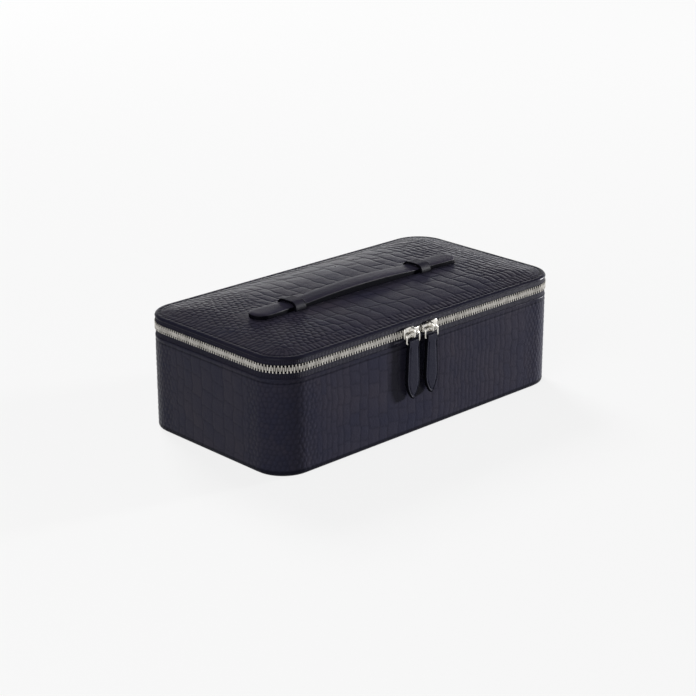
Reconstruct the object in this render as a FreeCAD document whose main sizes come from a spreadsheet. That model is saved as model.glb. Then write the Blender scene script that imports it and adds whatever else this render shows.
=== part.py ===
import FreeCAD, Part
import math
import os
import Sketcher

os.makedirs("parts", exist_ok=True)
doc = FreeCAD.newDocument("JewelleryCase")
V = FreeCAD.Vector
Rule = Sketcher.Constraint
SAME = 1e-4
MID_ROUND = 1 - math.sqrt(0.5)
OCTAGON_CUT = (1 - math.tan(math.pi / 8)) / 2
CUT_SHIFT = 2 - math.sqrt(2)
LOWER_PHASE, UPPER_PHASE = 0.25, 0.75

# Driving sizes in millimetres. Insets run inwards from the outer face of the wall leather.
SIZES = [
    ("caseLength", 241.0, "outer length over the wall leather"),
    ("caseDepth", 126.0, "outer depth over the wall leather"),
    ("cornerRadius", 21.0, "plan radius of the wall leather's corners"),
    ("zipHeight", 66.5, "height of the line where the teeth mesh"),
    ("leatherThick", 1.2, "covering leather"),
    ("boardThick", 2.8, "stiff wall board"),
    ("liningThick", 1.0, "lining of the walls"),
    ("liningTurn", 0.4, "lining turned over the top of the wall board"),
    ("panelInset", 2.0, "edge of the underside panel in from the wall"),
    ("wallFoot", 0.8, "lower edge of the wall leather over the table"),
    ("footBevel", 0.8, "bevel of the wall leather's lower edge"),
    ("hemBevel", 0.4, "bevel of the wall leather's upper edge"),
    ("bottomBoardThick", 2.5, "stiff bottom board"),
    ("floorThick", 1.5, "padded floor lining"),
    ("tapeThick", 0.8, "woven zip tape"),
    ("tapeSeam", 8.4, "part of the lower tape sewn behind the leather"),
    ("tapeSet", 0.4, "zip tape set back from the wall leather's face"),
    ("tapeJog", 0.6, "thickness of the fold that carries the tape outwards"),
    ("lowerShow", 3.85, "lower tape seen below the chain"),
    ("upperShow", 2.85, "upper tape seen above the chain"),
    ("chainHalf", 2.25, "half of the width of the zip chain"),
    ("toothReach", 0.7, "tooth tip past the line of mesh"),
    ("toothDeep", 2.0, "tooth through the tape"),
    ("toothWide", 0.78, "tooth along the tape at its root"),
    ("toothTip", 0.66, "tooth along the tape at its tip"),
    ("toothPitch", 2.0, "spacing of the teeth along one row"),
    ("hingeLength", 150.0, "leather hinge between the two ends of the zip"),
    ("hingeGap", 0.5, "clear of the hinge to the tape at each end"),
    ("hingeSet", 0.24, "hinge leather set back from the wall leather's face"),
    ("hingeLiningThick", 0.84, "lining inside the hinge"),
    ("lidRim", 1.9, "rim of the lid up to where its top begins"),
    ("rimRound", 1.4, "rounding of the lid's rim"),
    ("lidCrown", 0.7, "rise of the lid's padded top over its rim"),
    ("crownReach", 18.0, "width of the rising border of the lid's top"),
    ("crownBend", 7.2, "part of that border that rises most"),
    ("crownEase", 0.25, "rise that is left past that part"),
    ("seamFlange", 7.0, "upper tape sewn in under the lid leather"),
    ("lidBoardThick", 2.0, "stiff board of the lid"),
    ("lidBoardInset", 2.0, "edge of the lid board in from the wall"),
    ("lidLiningThick", 1.2, "lining under the lid"),
    ("lidLiningBevel", 0.8, "bevel of the lid lining's edge"),
    ("strapWide", 13.0, "width of the handle strap"),
    ("strapThick", 3.2, "thickness of the handle strap"),
    ("strapBevel", 1.1, "bevel of the strap's upper edges"),
    ("strapArch", 1.5, "rise of the strap at its middle"),
    ("strapClear", 0.1, "strap over the top of the lid"),
    ("tabInset", 34.5, "tip of the strap in from the end of the case"),
    ("tabReach", 27.0, "length of the strap's widened end"),
    ("tabRound", 7.5, "half of the width of the widened end"),
    ("flexLong", 13.0, "length of strap that bends between grip and widened end"),
    ("keeperSet", 5.0, "middle of the keeper in from the widened end"),
    ("keeperWide", 9.0, "keeper along the strap"),
    ("keeperThick", 1.4, "leather of the keeper"),
    ("keeperRound", 1.9, "rounding of the keeper's shoulders"),
    ("keeperClear", 0.6, "room round the strap inside the keeper"),
    ("sliderLeftX", -16.1, "middle of the left slider"),
    ("sliderRightX", -0.3, "middle of the right slider"),
    ("sliderLong", 12.6, "slider along the zip"),
    ("sliderTall", 7.6, "slider across the zip"),
    ("sliderTail", 5.5, "slider across the zip at its tail"),
    ("tailStart", 1.9, "start of the tail from the slider's middle"),
    ("headStart", 1.6, "start of the head from the slider's middle"),
    ("headCut", 1.4, "cut of the head's two corners"),
    ("bladeThick", 1.0, "front blade of the slider"),
    ("bladeBevel", 0.4, "bevel round the blade's face"),
    ("lipLong", 2.6, "lip of the slider along the zip"),
    ("lipSet", 1.5, "lip of the slider from its middle"),
    ("sliderClear", 0.25, "room between the slider and the chain"),
    ("bailTall", 6.4, "bail over its two feet"),
    ("bailWide", 2.4, "bail along the zip"),
    ("bailDeep", 2.2, "opening under the bail"),
    ("bailThick", 1.0, "metal of the bail"),
    ("ringWire", 1.2, "wire of the pull ring"),
    ("ringWide", 11.8, "ring over its two legs"),
    ("ringTall", 7.2, "top bar to bottom bar of the ring, wire to wire"),
    ("ringCrown", 2.0, "cut of the ring's upper corners along the wire's middle"),
    ("ringBend", 0.9, "cut of the ring's lower corners along the wire's middle"),
    ("pullWide", 8.4, "pull tab at its fold"),
    ("pullFlare", 10.8, "pull tab at its widest"),
    ("pullThick", 2.6, "pull tab through its two layers"),
    ("pullLong", 37.4, "pull tab from fold to tip"),
    ("pullCurve", 22.0, "radius of the two sides of the pull tab's end"),
    ("pullNose", 1.6, "radius of the pull tab's tip"),
    ("pullRound", 1.15, "rounding of the fold"),
    ("pullFold", 1.5, "leather above the middle of the ring's lower bar"),
    ("wireClear", 0.15, "room round the wire in the fold"),
    ("dividerThick", 2.4, "padded divider"),
    ("dividerDrop", 8.4, "top of the dividers below the wall leather's edge"),
    ("dividerRound", 0.9, "rounding of the dividers' tops"),
    ("bedEndX", -38.0, "right face of the ring bed"),
    ("bedTall", 32.8, "height of the ring bed"),
    ("wellDeep", 10.0, "depth of the well that holds the ring rolls"),
    ("wellRim", 6.0, "rim of the bed before and behind its well"),
    ("wellEnd", 3.0, "rim of the bed at its right face"),
    ("wellSet", 12.6, "rim of the bed at the rounded end of the case"),
    ("fitClear", 0.2, "room round a piece that drops into the case"),
    ("rollCount", 4.0, "padded rolls for rings"),
    ("rollEase", 1.2, "roll drawn in towards its ends"),
    ("rearSplitX", 40.0, "left face of the divider in the rear row"),
]
ALIASES = {alias for alias, _, _ in SIZES}
sheet = doc.addObject("Spreadsheet::Sheet", "Sizes")
for row, (alias, number, note) in enumerate(SIZES, start=1):
    sheet.set(f"A{row}", note)
    sheet.set(f"B{row}", repr(number))
    sheet.setAlias(f"B{row}", alias)
doc.recompute()
nodes = {}


def size(alias):
    return float(sheet.get(alias))


def words(text):
    return text.replace("(", " ( ").replace(")", " ) ").split()


def ex(text):
    return " ".join(f"Sizes.{word}" if word in ALIASES else word for word in words(text))


def measure(text):
    plain = " ".join(f"( {size(word)!r} )" if word in ALIASES else word for word in words(text))
    return float(FreeCAD.Units.Quantity(plain).Value)


def minus(text):
    return f"0 - ( {text} )"


def keep(name, obj):
    obj.Label = name
    nodes[name] = obj


def new_body(name):
    body = doc.addObject("PartDesign::Body", name)
    body.Label = name
    return body


def new_sketch(body, name, role, offset=None):
    sketch = body.newObject("Sketcher::SketchObject", name)
    support = next(o for o in body.Origin.OriginFeatures if o.Role == role)
    sketch.AttachmentSupport = [(support, "")]
    sketch.MapMode = "FlatFace"
    if offset:
        sketch.setExpression("AttachmentOffset.Base.z", ex(offset))
    return sketch


def bind(sketch, rule, text):
    index = sketch.addConstraint(rule)
    sketch.setExpression(f"Constraints[{index}]", ex(text))


def hold(sketch, geometry, point, x, y):
    # Holds a point from the origin by two named places.
    bind(sketch, Rule("DistanceX", -1, 1, geometry, point, measure(x)), x)
    bind(sketch, Rule("DistanceY", -1, 1, geometry, point, measure(y)), y)


def line(sketch, a, b):
    return sketch.addGeometry(Part.LineSegment(V(*a, 0), V(*b, 0)))


def arc(sketch, centre, radius, start, end):
    circle = Part.Circle(V(*centre, 0), V(0, 0, 1), radius)
    return sketch.addGeometry(Part.ArcOfCircle(circle, math.radians(start), math.radians(end)))


def rounded_frame(sketch, dx, dy, centre_y, r):
    # Four lines and four quarter turns, each tangent to the next, about a centre on the upright axis.
    lines = [((-dx, -dy - r), (dx, -dy - r)), ((dx + r, -dy), (dx + r, dy)),
             ((dx, dy + r), (-dx, dy + r)), ((-dx - r, dy), (-dx - r, -dy))]
    corners = [(dx, -dy, -90), (dx, dy, 0), (-dx, dy, 90), (-dx, -dy, 180)]
    side = [line(sketch, (a[0], a[1] + centre_y), (b[0], b[1] + centre_y)) for a, b in lines]
    turn = [arc(sketch, (x, y + centre_y), r, start, start + 90) for x, y, start in corners]
    for i in range(4):
        sketch.addConstraint(Rule("Tangent", side[i], 2, turn[i], 1))
        sketch.addConstraint(Rule("Tangent", turn[i], 2, side[(i + 1) % 4], 1))
    for i in (1, 2):
        sketch.addConstraint(Rule("Equal", turn[0], turn[i]))
    sketch.addConstraint(Rule("Vertical", side[1]))
    return side, turn


def rounded_loop(sketch, inset):
    # The case's outline, drawn in by an inset.
    dx = measure("caseLength / 2 - cornerRadius")
    dy = measure("caseDepth / 2 - cornerRadius")
    reach = f"cornerRadius - ( {inset} )"
    side, turn = rounded_frame(sketch, dx, dy, 0, measure(reach))
    sketch.addConstraint(Rule("Horizontal", side[0]))
    sketch.addConstraint(Rule("Symmetric", turn[0], 3, turn[2], 3, -1, 1))
    bind(sketch, Rule("Radius", turn[0], measure(reach)), reach)
    bind(sketch, Rule("DistanceX", side[0], 1, side[0], 2, 2 * dx), "caseLength - 2 * cornerRadius")
    bind(sketch, Rule("DistanceY", side[1], 1, side[1], 2, 2 * dy), "caseDepth - 2 * cornerRadius")


def polyline(sketch, points):
    # A closed outline through points that are each held from the origin by their own sizes.
    spots = [(measure(a), measure(b)) for a, b in points]
    count = len(spots)
    side = [line(sketch, spots[i], spots[(i + 1) % count]) for i in range(count)]
    for i in range(count):
        sketch.addConstraint(Rule("Coincident", side[i], 2, side[(i + 1) % count], 1))
    for i, (a, b) in enumerate(points):
        hold(sketch, side[i], 1, a, b)


def rectangle(sketch, x0, x1, y0, y1):
    polyline(sketch, [(x0, y0), (x1, y0), (x1, y1), (x0, y1)])


def pad(body, sketch, name, length, midplane=False):
    feature = body.newObject("PartDesign::Pad", name)
    feature.Profile = sketch
    feature.setExpression("Length", ex(length))
    feature.Midplane = midplane
    return feature


def pocket_all(body, sketch, name):
    feature = body.newObject("PartDesign::Pocket", name)
    feature.Profile = sketch
    feature.Type = "ThroughAll"
    feature.Midplane = True


def dress(body, base, name, kind, amount, chosen):
    # Rounds or bevels the chosen edges of a feature.
    doc.recompute()
    names = [f"Edge{i}" for i, e in enumerate(base.Shape.Edges, start=1) if chosen(e.BoundBox)]
    feature = body.newObject(f"PartDesign::{kind}", name)
    feature.Base = (base, names)
    feature.setExpression("Radius" if kind == "Fillet" else "Size", ex(amount))
    return feature


def slab(body, name, inset, z0, height, inner=None):
    # A plate with the case's outline, or a wall along it where an inner inset is given.
    sketch = new_sketch(body, f"{name}_outline", "XY_Plane", z0)
    rounded_loop(sketch, inset)
    if inner:
        rounded_loop(sketch, inner)
    return pad(body, sketch, f"{name}_pad", height)


def loft(body, name, stations):
    # A form ruled through outlines of the case, each given by its inset and its height.
    sketches = []
    for i, (inset, height) in enumerate(stations):
        sketch = new_sketch(body, f"{name}_outline_{i}", "XY_Plane", height)
        rounded_loop(sketch, inset)
        sketches.append(sketch)
    feature = body.newObject("PartDesign::AdditiveLoft", f"{name}_loft")
    feature.Profile = sketches[0]
    feature.Sections = sketches[1:]
    feature.Ruled = True


def at_height(z):
    return lambda box: abs(box.ZMin - z) < SAME and abs(box.ZMax - z) < SAME


def outer_at(z):
    # Edges at one height on the outer face of the wall leather.
    half_length, half_depth = measure("caseLength / 2"), measure("caseDepth / 2")

    def chosen(box):
        reach_x = max(abs(box.XMin), abs(box.XMax))
        reach_y = max(abs(box.YMin), abs(box.YMax))
        outer = abs(reach_x - half_length) < SAME or abs(reach_y - half_depth) < SAME
        return outer and at_height(z)(box)
    return chosen


# Heights and insets that several pieces share.
WALL_TOP = "( zipHeight - chainHalf - lowerShow )"
BOARD_TOP = f"( {WALL_TOP} - tapeJog )"
SEAM_Z = f"( {WALL_TOP} - tapeSeam )"
FLOOR_Z = "( leatherThick + bottomBoardThick )"
FLOOR_TOP = f"( {FLOOR_Z} + floorThick )"
TAPE_IN = "( leatherThick + tapeThick )"
BOARD_IN = "( leatherThick + boardThick )"
LINING_IN = f"( {BOARD_IN} + liningThick )"
LID_EDGE = "( zipHeight + chainHalf + upperShow )"
FLANGE_Z = f"( {LID_EDGE} - tapeJog )"
LID_BOARD_Z = f"( {FLANGE_Z} - lidBoardThick )"
LID_UNDER = f"( {LID_BOARD_Z} - lidLiningThick )"
LID_TOP = f"( {LID_EDGE} + lidRim + lidCrown )"

# Base: underside panel, boards, wall leather and linings.
body = new_body("base_bottom_leather")
slab(body, "underside", "panelInset", "0", "leatherThick")
keep("base_bottom_leather", body)

body = new_body("base_bottom_board")
slab(body, "bottom", "leatherThick", "leatherThick", "bottomBoardThick")
keep("base_bottom_board", body)

body = new_body("base_wall_board")
slab(body, "wall", "leatherThick", FLOOR_Z, f"{SEAM_Z} - {FLOOR_Z}", BOARD_IN)
slab(body, "wall_upper", TAPE_IN, SEAM_Z, "tapeSeam - tapeJog", BOARD_IN)
keep("base_wall_board", body)

body = new_body("base_wall_leather")
cover = slab(body, "cover", "0", "wallFoot", f"{WALL_TOP} - wallFoot", "leatherThick")
cover = dress(body, cover, "cover_foot", "Chamfer", "footBevel", outer_at(size("wallFoot")))
dress(body, cover, "cover_hem", "Chamfer", "hemBevel", outer_at(measure(WALL_TOP)))
keep("base_wall_leather", body)

body = new_body("base_floor_lining")
slab(body, "floor", BOARD_IN, FLOOR_Z, "floorThick")
keep("base_floor_lining", body)

body = new_body("base_wall_lining")
slab(body, "lining", BOARD_IN, FLOOR_TOP, f"{WALL_TOP} + liningTurn - {FLOOR_TOP}", LINING_IN)
slab(body, "lining_turn", TAPE_IN, BOARD_TOP, "tapeJog + liningTurn", BOARD_IN)
keep("base_wall_lining", body)

# Zip tapes, open at the back where the leather hinge is.
TAPE_OUT = "tapeSet"
TAPE_BACK = "( tapeSet + tapeThick )"
HINGE_HALF = "( hingeLength / 2 + hingeGap )"


def open_back(body, name):
    space = new_sketch(body, f"{name}_space", "XY_Plane")
    rectangle(space, minus(HINGE_HALF), HINGE_HALF, "caseDepth / 2 - cornerRadius", "caseDepth")
    pocket_all(body, space, f"{name}_opening")


body = new_body("lower_zip_tape")
slab(body, "sewn", "leatherThick", SEAM_Z, "tapeSeam + tapeJog", TAPE_IN)
slab(body, "jog", TAPE_OUT, WALL_TOP, "tapeJog", TAPE_IN)
slab(body, "band", TAPE_OUT, WALL_TOP, "lowerShow", TAPE_BACK)
open_back(body, "lower_tape")
keep("lower_zip_tape", body)

body = new_body("upper_zip_tape")
slab(body, "flange", TAPE_OUT, FLANGE_Z, "tapeJog", "seamFlange")
slab(body, "band_up", TAPE_OUT, "zipHeight + chainHalf", "upperShow", TAPE_BACK)
open_back(body, "upper_tape")
keep("upper_zip_tape", body)


# Zip chain: two rows of teeth that mesh along the path of the tapes.
def zip_path():
    # Straight runs and quarter turns from the left end of the hinge round the front to the right end.
    dx = measure("caseLength / 2 - cornerRadius")
    dy = measure("caseDepth / 2 - cornerRadius")
    r = measure("cornerRadius - tapeSet - tapeThick / 2")
    start = measure(f"{HINGE_HALF} + toothPitch / 2")
    straights = [((-start, dy + r), (-1, 0), dx - start), ((-dx - r, dy), (0, -1), 2 * dy),
                 ((-dx, -dy - r), (1, 0), 2 * dx), ((dx + r, -dy), (0, 1), 2 * dy),
                 ((dx, dy + r), (-1, 0), dx - start)]
    turns = [((-dx, dy), 90), ((-dx, -dy), 180), ((dx, -dy), 270), ((dx, dy), 0)]
    return straights, turns, r


def station(path, along):
    # The point at one distance along the path, and the outward direction there in degrees.
    straights, turns, r = path
    for i, ((x, y), (ux, uy), length) in enumerate(straights):
        if along <= length or i == len(turns):
            return V(x + ux * along, y + uy * along, 0), math.degrees(math.atan2(-ux, uy))
        along -= length
        (x, y), first = turns[i]
        if along <= r * math.pi / 2:
            angle = math.radians(first) + along / r
            return V(x + r * math.cos(angle), y + r * math.sin(angle), 0), math.degrees(angle)
        along -= r * math.pi / 2


def tooth(root, tip):
    # One tooth: a block that narrows to its tip, standing on the edge of the tape.
    deep, wide, narrow = size("toothDeep") / 2, size("toothWide") / 2, size("toothTip") / 2
    rings = []
    for half, z in ((wide, root), (narrow, tip)):
        corners = [V(-deep, -half, z), V(deep, -half, z), V(deep, half, z), V(-deep, half, z)]
        rings.append(Part.makePolygon(corners + corners[:1]))
    return Part.makeLoft(rings, True, True)


def teeth_row(name, sign, phase):
    path = zip_path()
    straights, turns, r = path
    whole = sum(run[2] for run in straights) + len(turns) * r * math.pi / 2
    pitch = size("toothPitch")
    one = tooth(measure(f"zipHeight - {sign} * chainHalf"), measure(f"zipHeight + {sign} * toothReach"))
    row = []
    for i in range(int(whole / pitch - phase) + 1):
        spot, turn = station(path, (i + phase) * pitch)
        piece = one.copy()
        piece.rotate(V(0, 0, 0), V(0, 0, 1), turn)
        piece.translate(spot)
        row.append(piece)
    feature = doc.addObject("Part::Feature", name)
    feature.Shape = Part.makeCompound(row)
    keep(name, feature)


teeth_row("lower_zip_teeth", 1, LOWER_PHASE)
teeth_row("upper_zip_teeth", -1, UPPER_PHASE)

# Leather hinge at the back, with its inner lining. Profiles are drawn across the back wall.
BACK = "caseDepth / 2"
body = new_body("hinge_leather")
sketch = new_sketch(body, "hinge_profile", "YZ_Plane")
polyline(sketch, [
    (f"{BACK} - {TAPE_IN}", SEAM_Z), (f"{BACK} - leatherThick", SEAM_Z),
    (f"{BACK} - leatherThick", WALL_TOP), (f"{BACK} - hingeSet", WALL_TOP),
    (f"{BACK} - hingeSet", LID_EDGE), (f"{BACK} - seamFlange", LID_EDGE),
    (f"{BACK} - seamFlange", FLANGE_Z), (f"{BACK} - leatherThick", FLANGE_Z),
    (f"{BACK} - leatherThick", f"{WALL_TOP} + tapeJog"), (f"{BACK} - {TAPE_IN}", f"{WALL_TOP} + tapeJog")])
pad(body, sketch, "hinge_pad", "hingeLength", True)
keep("hinge_leather", body)

body = new_body("hinge_lining")
sketch = new_sketch(body, "hinge_lining_profile", "YZ_Plane")
rectangle(sketch, f"{BACK} - {BOARD_IN}", f"{BACK} - {BOARD_IN} + hingeLiningThick",
          f"{WALL_TOP} + liningTurn", LID_UNDER)
pad(body, sketch, "hinge_lining_pad", "hingeLength", True)
keep("hinge_lining", body)

# Lid: lining, board, padding and the crowned leather over them.
body = new_body("lid_lining")
under = slab(body, "lid_under", "lidBoardInset", LID_UNDER, "lidLiningThick")
dress(body, under, "lid_under_edge", "Chamfer", "lidLiningBevel", at_height(measure(LID_UNDER)))
keep("lid_lining", body)

body = new_body("lid_board")
slab(body, "lid_stiff", "lidBoardInset", LID_BOARD_Z, "lidBoardThick")
keep("lid_board", body)

padding = new_body("lid_padding")
loft(padding, "fill", [
    ("seamFlange", FLANGE_Z),
    ("seamFlange", f"{LID_TOP} - crownEase - leatherThick"),
    ("crownReach", f"{LID_TOP} - leatherThick")])
keep("lid_padding", padding)

outer = new_body("lid_form")
loft(outer, "crown", [
    ("0", LID_EDGE),
    ("0", f"{LID_EDGE} + lidRim - rimRound"),
    (f"rimRound * {MID_ROUND}", f"{LID_EDGE} + lidRim - rimRound * {MID_ROUND}"),
    ("rimRound", f"{LID_EDGE} + lidRim"),
    ("crownBend", f"{LID_TOP} - crownEase"),
    ("crownReach", LID_TOP)])
cover = doc.addObject("Part::Cut", "lid_leather")
cover.Base = outer
cover.Tool = padding
keep("lid_leather", cover)

# Handle: arched grip, the two lengths that bend in the keepers, and the widened ends.
TAB_END = "( caseLength / 2 - tabInset )"
TAB_START = f"( {TAB_END} - tabReach )"
GRIP_HALF = f"( {TAB_START} - flexLong )"
STRAP_Z = f"( {LID_TOP} + strapClear )"
STRAP_TOP = f"( {STRAP_Z} + strapThick )"
KEEP_IN = "( strapWide / 2 + keeperClear )"
KEEP_OUT = f"( {KEEP_IN} + keeperThick )"
KEEP_Z = f"( {STRAP_TOP} + keeperClear )"
KEEP_TOP = f"( {KEEP_Z} + keeperThick )"


def keeper(name, sign):
    # A loop that stands on the flat middle of the lid, over the strap.
    loop = new_body(name)
    profile = new_sketch(loop, f"{name}_profile", "YZ_Plane", f"{sign} * ( {TAB_START} - keeperSet )")
    half = [(KEEP_IN, KEEP_Z), (KEEP_IN, LID_TOP), (KEEP_OUT, LID_TOP), (KEEP_OUT, KEEP_TOP)]
    polyline(profile, half + [(minus(y), z) for y, z in reversed(half)])
    solid = pad(loop, profile, f"{name}_pad", "keeperWide", True)
    top = measure(KEEP_TOP)
    dress(loop, solid, f"{name}_round", "Fillet", "keeperRound",
          lambda box: at_height(top)(box) and box.YMax - box.YMin < SAME)
    keep(name, loop)


keeper("handle_keeper_left", -1)
keeper("handle_keeper_right", 1)

body = new_body("handle_grip")
sketch = new_sketch(body, "grip_profile", "XZ_Plane")
half, rise = measure(GRIP_HALF), size("strapArch")
BOW = f"( {GRIP_HALF} * {GRIP_HALF} + strapArch * strapArch ) / ( 2 * strapArch )"
bow = measure(BOW)
swing = math.degrees(math.asin(half / bow))
under_z, over_z = measure(STRAP_Z), measure(STRAP_TOP)
under = arc(sketch, (0, under_z + rise - bow), bow, 90 - swing, 90 + swing)
over = arc(sketch, (0, over_z + rise - bow), bow, 90 - swing, 90 + swing)
right = line(sketch, (half, under_z), (half, over_z))
left = line(sketch, (-half, over_z), (-half, under_z))
for end, curve, point in ((1, under, 1), (2, over, 1)):
    sketch.addConstraint(Rule("Coincident", right, end, curve, point))
for end, curve in ((1, over), (2, under)):
    sketch.addConstraint(Rule("Coincident", left, end, curve, 2))
hold(sketch, right, 1, GRIP_HALF, STRAP_Z)
hold(sketch, right, 2, GRIP_HALF, STRAP_TOP)
hold(sketch, left, 1, minus(GRIP_HALF), STRAP_TOP)
hold(sketch, left, 2, minus(GRIP_HALF), STRAP_Z)
for curve in (under, over):
    bind(sketch, Rule("Radius", curve, bow), BOW)
grip = pad(body, sketch, "grip_pad", "strapWide", True)
dress(body, grip, "grip_edge", "Chamfer", "strapBevel",
      lambda box: box.XMax - box.XMin > half and box.ZMax > over_z + rise - SAME)
keep("handle_grip", body)


def strap_end(side, sign):
    flex = new_body(f"handle_flex_{side}")
    outline = new_sketch(flex, f"flex_outline_{side}", "YZ_Plane",
                         f"{sign} * ( {GRIP_HALF} + flexLong / 2 )")
    rectangle(outline, minus("strapWide / 2"), "strapWide / 2", STRAP_Z, STRAP_TOP)
    block = pad(flex, outline, f"flex_pad_{side}", "flexLong", True)
    level = at_height(measure(STRAP_TOP))
    dress(flex, block, f"flex_edge_{side}", "Chamfer", "strapBevel",
          lambda box: level(box) and box.YMax - box.YMin < SAME)
    keep(f"handle_flex_{side}", flex)

    tab = new_body(f"handle_tab_{side}")
    shape = new_sketch(tab, f"tab_outline_{side}", "XY_Plane", STRAP_Z)
    x0 = sign * measure(TAB_START)
    x1 = sign * measure(f"{TAB_END} - tabRound")
    r, half_wide = size("tabRound"), size("strapWide") / 2
    first, last = (1, 2) if sign > 0 else (2, 1)
    nose = arc(shape, (x1, 0), r, -sign * 90, -sign * 90 + 180)
    low = line(shape, (x0, -half_wide), (x1, -r))
    high = line(shape, (x1, r), (x0, half_wide))
    back = line(shape, (x0, half_wide), (x0, -half_wide))
    shape.addConstraint(Rule("Tangent", low, 2, nose, first))
    shape.addConstraint(Rule("Tangent", nose, last, high, 1))
    shape.addConstraint(Rule("Coincident", high, 2, back, 1))
    shape.addConstraint(Rule("Coincident", back, 2, low, 1))
    shape.addConstraint(Rule("PointOnObject", nose, 3, -1))
    bind(shape, Rule("Radius", nose, r), "tabRound")
    bind(shape, Rule("DistanceX", -1, 1, nose, 3, x1), f"{sign} * ( {TAB_END} - tabRound )")
    hold(shape, back, 1, f"{sign} * {TAB_START}", "strapWide / 2")
    hold(shape, back, 2, f"{sign} * {TAB_START}", minus("strapWide / 2"))
    paddle = pad(tab, shape, f"tab_pad_{side}", "strapThick")
    dress(tab, paddle, f"tab_edge_{side}", "Chamfer", "strapBevel",
          lambda box: level(box) and box.XMax - box.XMin > SAME)
    keep(f"handle_tab_{side}", tab)


strap_end("left", -1)
strap_end("right", 1)

# Zip sliders: a shield-shaped blade with a lower lip and a bail, drawn at the middle and moved along.
CHAIN_Y = "( caseDepth / 2 - tapeSet - tapeThick / 2 + toothDeep / 2 + sliderClear )"
BLADE_Y = f"( {CHAIN_Y} + bladeThick )"
BAIL_Y = f"( {BLADE_Y} + bailDeep )"
PIVOT_Y = f"( {BLADE_Y} + bailDeep / 2 )"


def slider(name, where, sign):
    body = new_body(name)
    outline = new_sketch(body, f"{name}_outline", "XZ_Plane", CHAIN_Y)
    half = [("0 - sliderLong / 2", "sliderTail / 2"), ("0 - tailStart", "sliderTail / 2"),
            ("headStart", "sliderTall / 2"), ("sliderLong / 2 - headCut", "sliderTall / 2"),
            ("sliderLong / 2", "sliderTall / 2 - headCut")]
    half = [(f"{sign} * ( {x} )", z) for x, z in half]
    polyline(outline, [(x, f"zipHeight + ( {z} )") for x, z in half]
             + [(x, f"zipHeight - ( {z} )") for x, z in reversed(half)])
    blade = pad(body, outline, f"{name}_blade", "bladeThick")
    front = minus(BLADE_Y)
    face = measure(front)
    dress(body, blade, f"{name}_edge", "Chamfer", "bladeBevel",
          lambda box: abs(box.YMin - face) < SAME and abs(box.YMax - face) < SAME)

    bail = new_sketch(body, f"{name}_bail_profile", "YZ_Plane")
    root = minus(f"{BLADE_Y} - bladeThick / 2")
    half = [(root, "bailTall / 2 - bailThick"), (root, "bailTall / 2"), (minus(BAIL_Y), "bailTall / 2"),
            (minus(f"{BAIL_Y} + bailThick"), "bailTall / 2 - bailThick")]
    inner = (minus(BAIL_Y), "bailTall / 2 - bailThick")
    loop = [inner] + half
    polyline(bail, [(y, f"zipHeight + ( {z} )") for y, z in loop]
             + [(y, f"zipHeight - ( {z} )") for y, z in reversed(loop)])
    pad(body, bail, f"{name}_bail", "bailWide", True)

    lip = new_sketch(body, f"{name}_lip_profile", "YZ_Plane", f"{sign} * lipSet")
    rectangle(lip, minus(f"{BLADE_Y} - bladeThick / 2"), minus("caseDepth / 2 - tapeSet + sliderClear"),
              "zipHeight - sliderTall / 2", "zipHeight - chainHalf - sliderClear")
    pad(body, lip, f"{name}_lip", "lipLong", True)
    body.setExpression("Placement.Base.x", ex(where))
    keep(name, body)


slider("slider_left", "sliderLeftX", -1)
slider("slider_right", "sliderRightX", 1)

# Pulls: a wire ring that hangs from the bail, and a leather tab folded over its lower bar.
BAR_Z = "( zipHeight - ringTall + ringWire )"
FOLD_Z = f"( {BAR_Z} + pullFold )"
TIP_Z = f"( {FOLD_Z} - pullLong )"


def ring_loop(sketch, out):
    # The ring's outline, moved out from the middle of its wire, with its corners cut across.
    half = f"( ringWide / 2 - ringWire / 2 + ( {out} ) )"
    top, low = f"( zipHeight + ( {out} ) )", f"( {BAR_Z} - ( {out} ) )"
    crown, bend = (f"( {cut} + {CUT_SHIFT} * ( {out} ) )" for cut in ("ringCrown", "ringBend"))
    side = [(f"{half} - {bend}", low), (half, f"{low} + {bend}"), (half, f"{top} - {crown}"),
            (f"{half} - {crown}", top)]
    polyline(sketch, side + [(minus(x), z) for x, z in reversed(side)])


def pull_ring(side, where):
    # A frame of wire whose section is cut to eight sides.
    ring = new_body(f"pull_ring_{side}")
    frame = new_sketch(ring, f"ring_frame_{side}", "XZ_Plane", f"{PIVOT_Y} - ringWire / 2")
    ring_loop(frame, "ringWire / 2")
    ring_loop(frame, minus("ringWire / 2"))
    wire = pad(ring, frame, f"ring_pad_{side}", "ringWire")
    dress(ring, wire, f"ring_cut_{side}", "Chamfer", f"ringWire * {OCTAGON_CUT}",
          lambda box: box.YMax - box.YMin < SAME)
    ring.setExpression("Placement.Base.x", ex(where))
    keep(f"pull_ring_{side}", ring)


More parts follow.
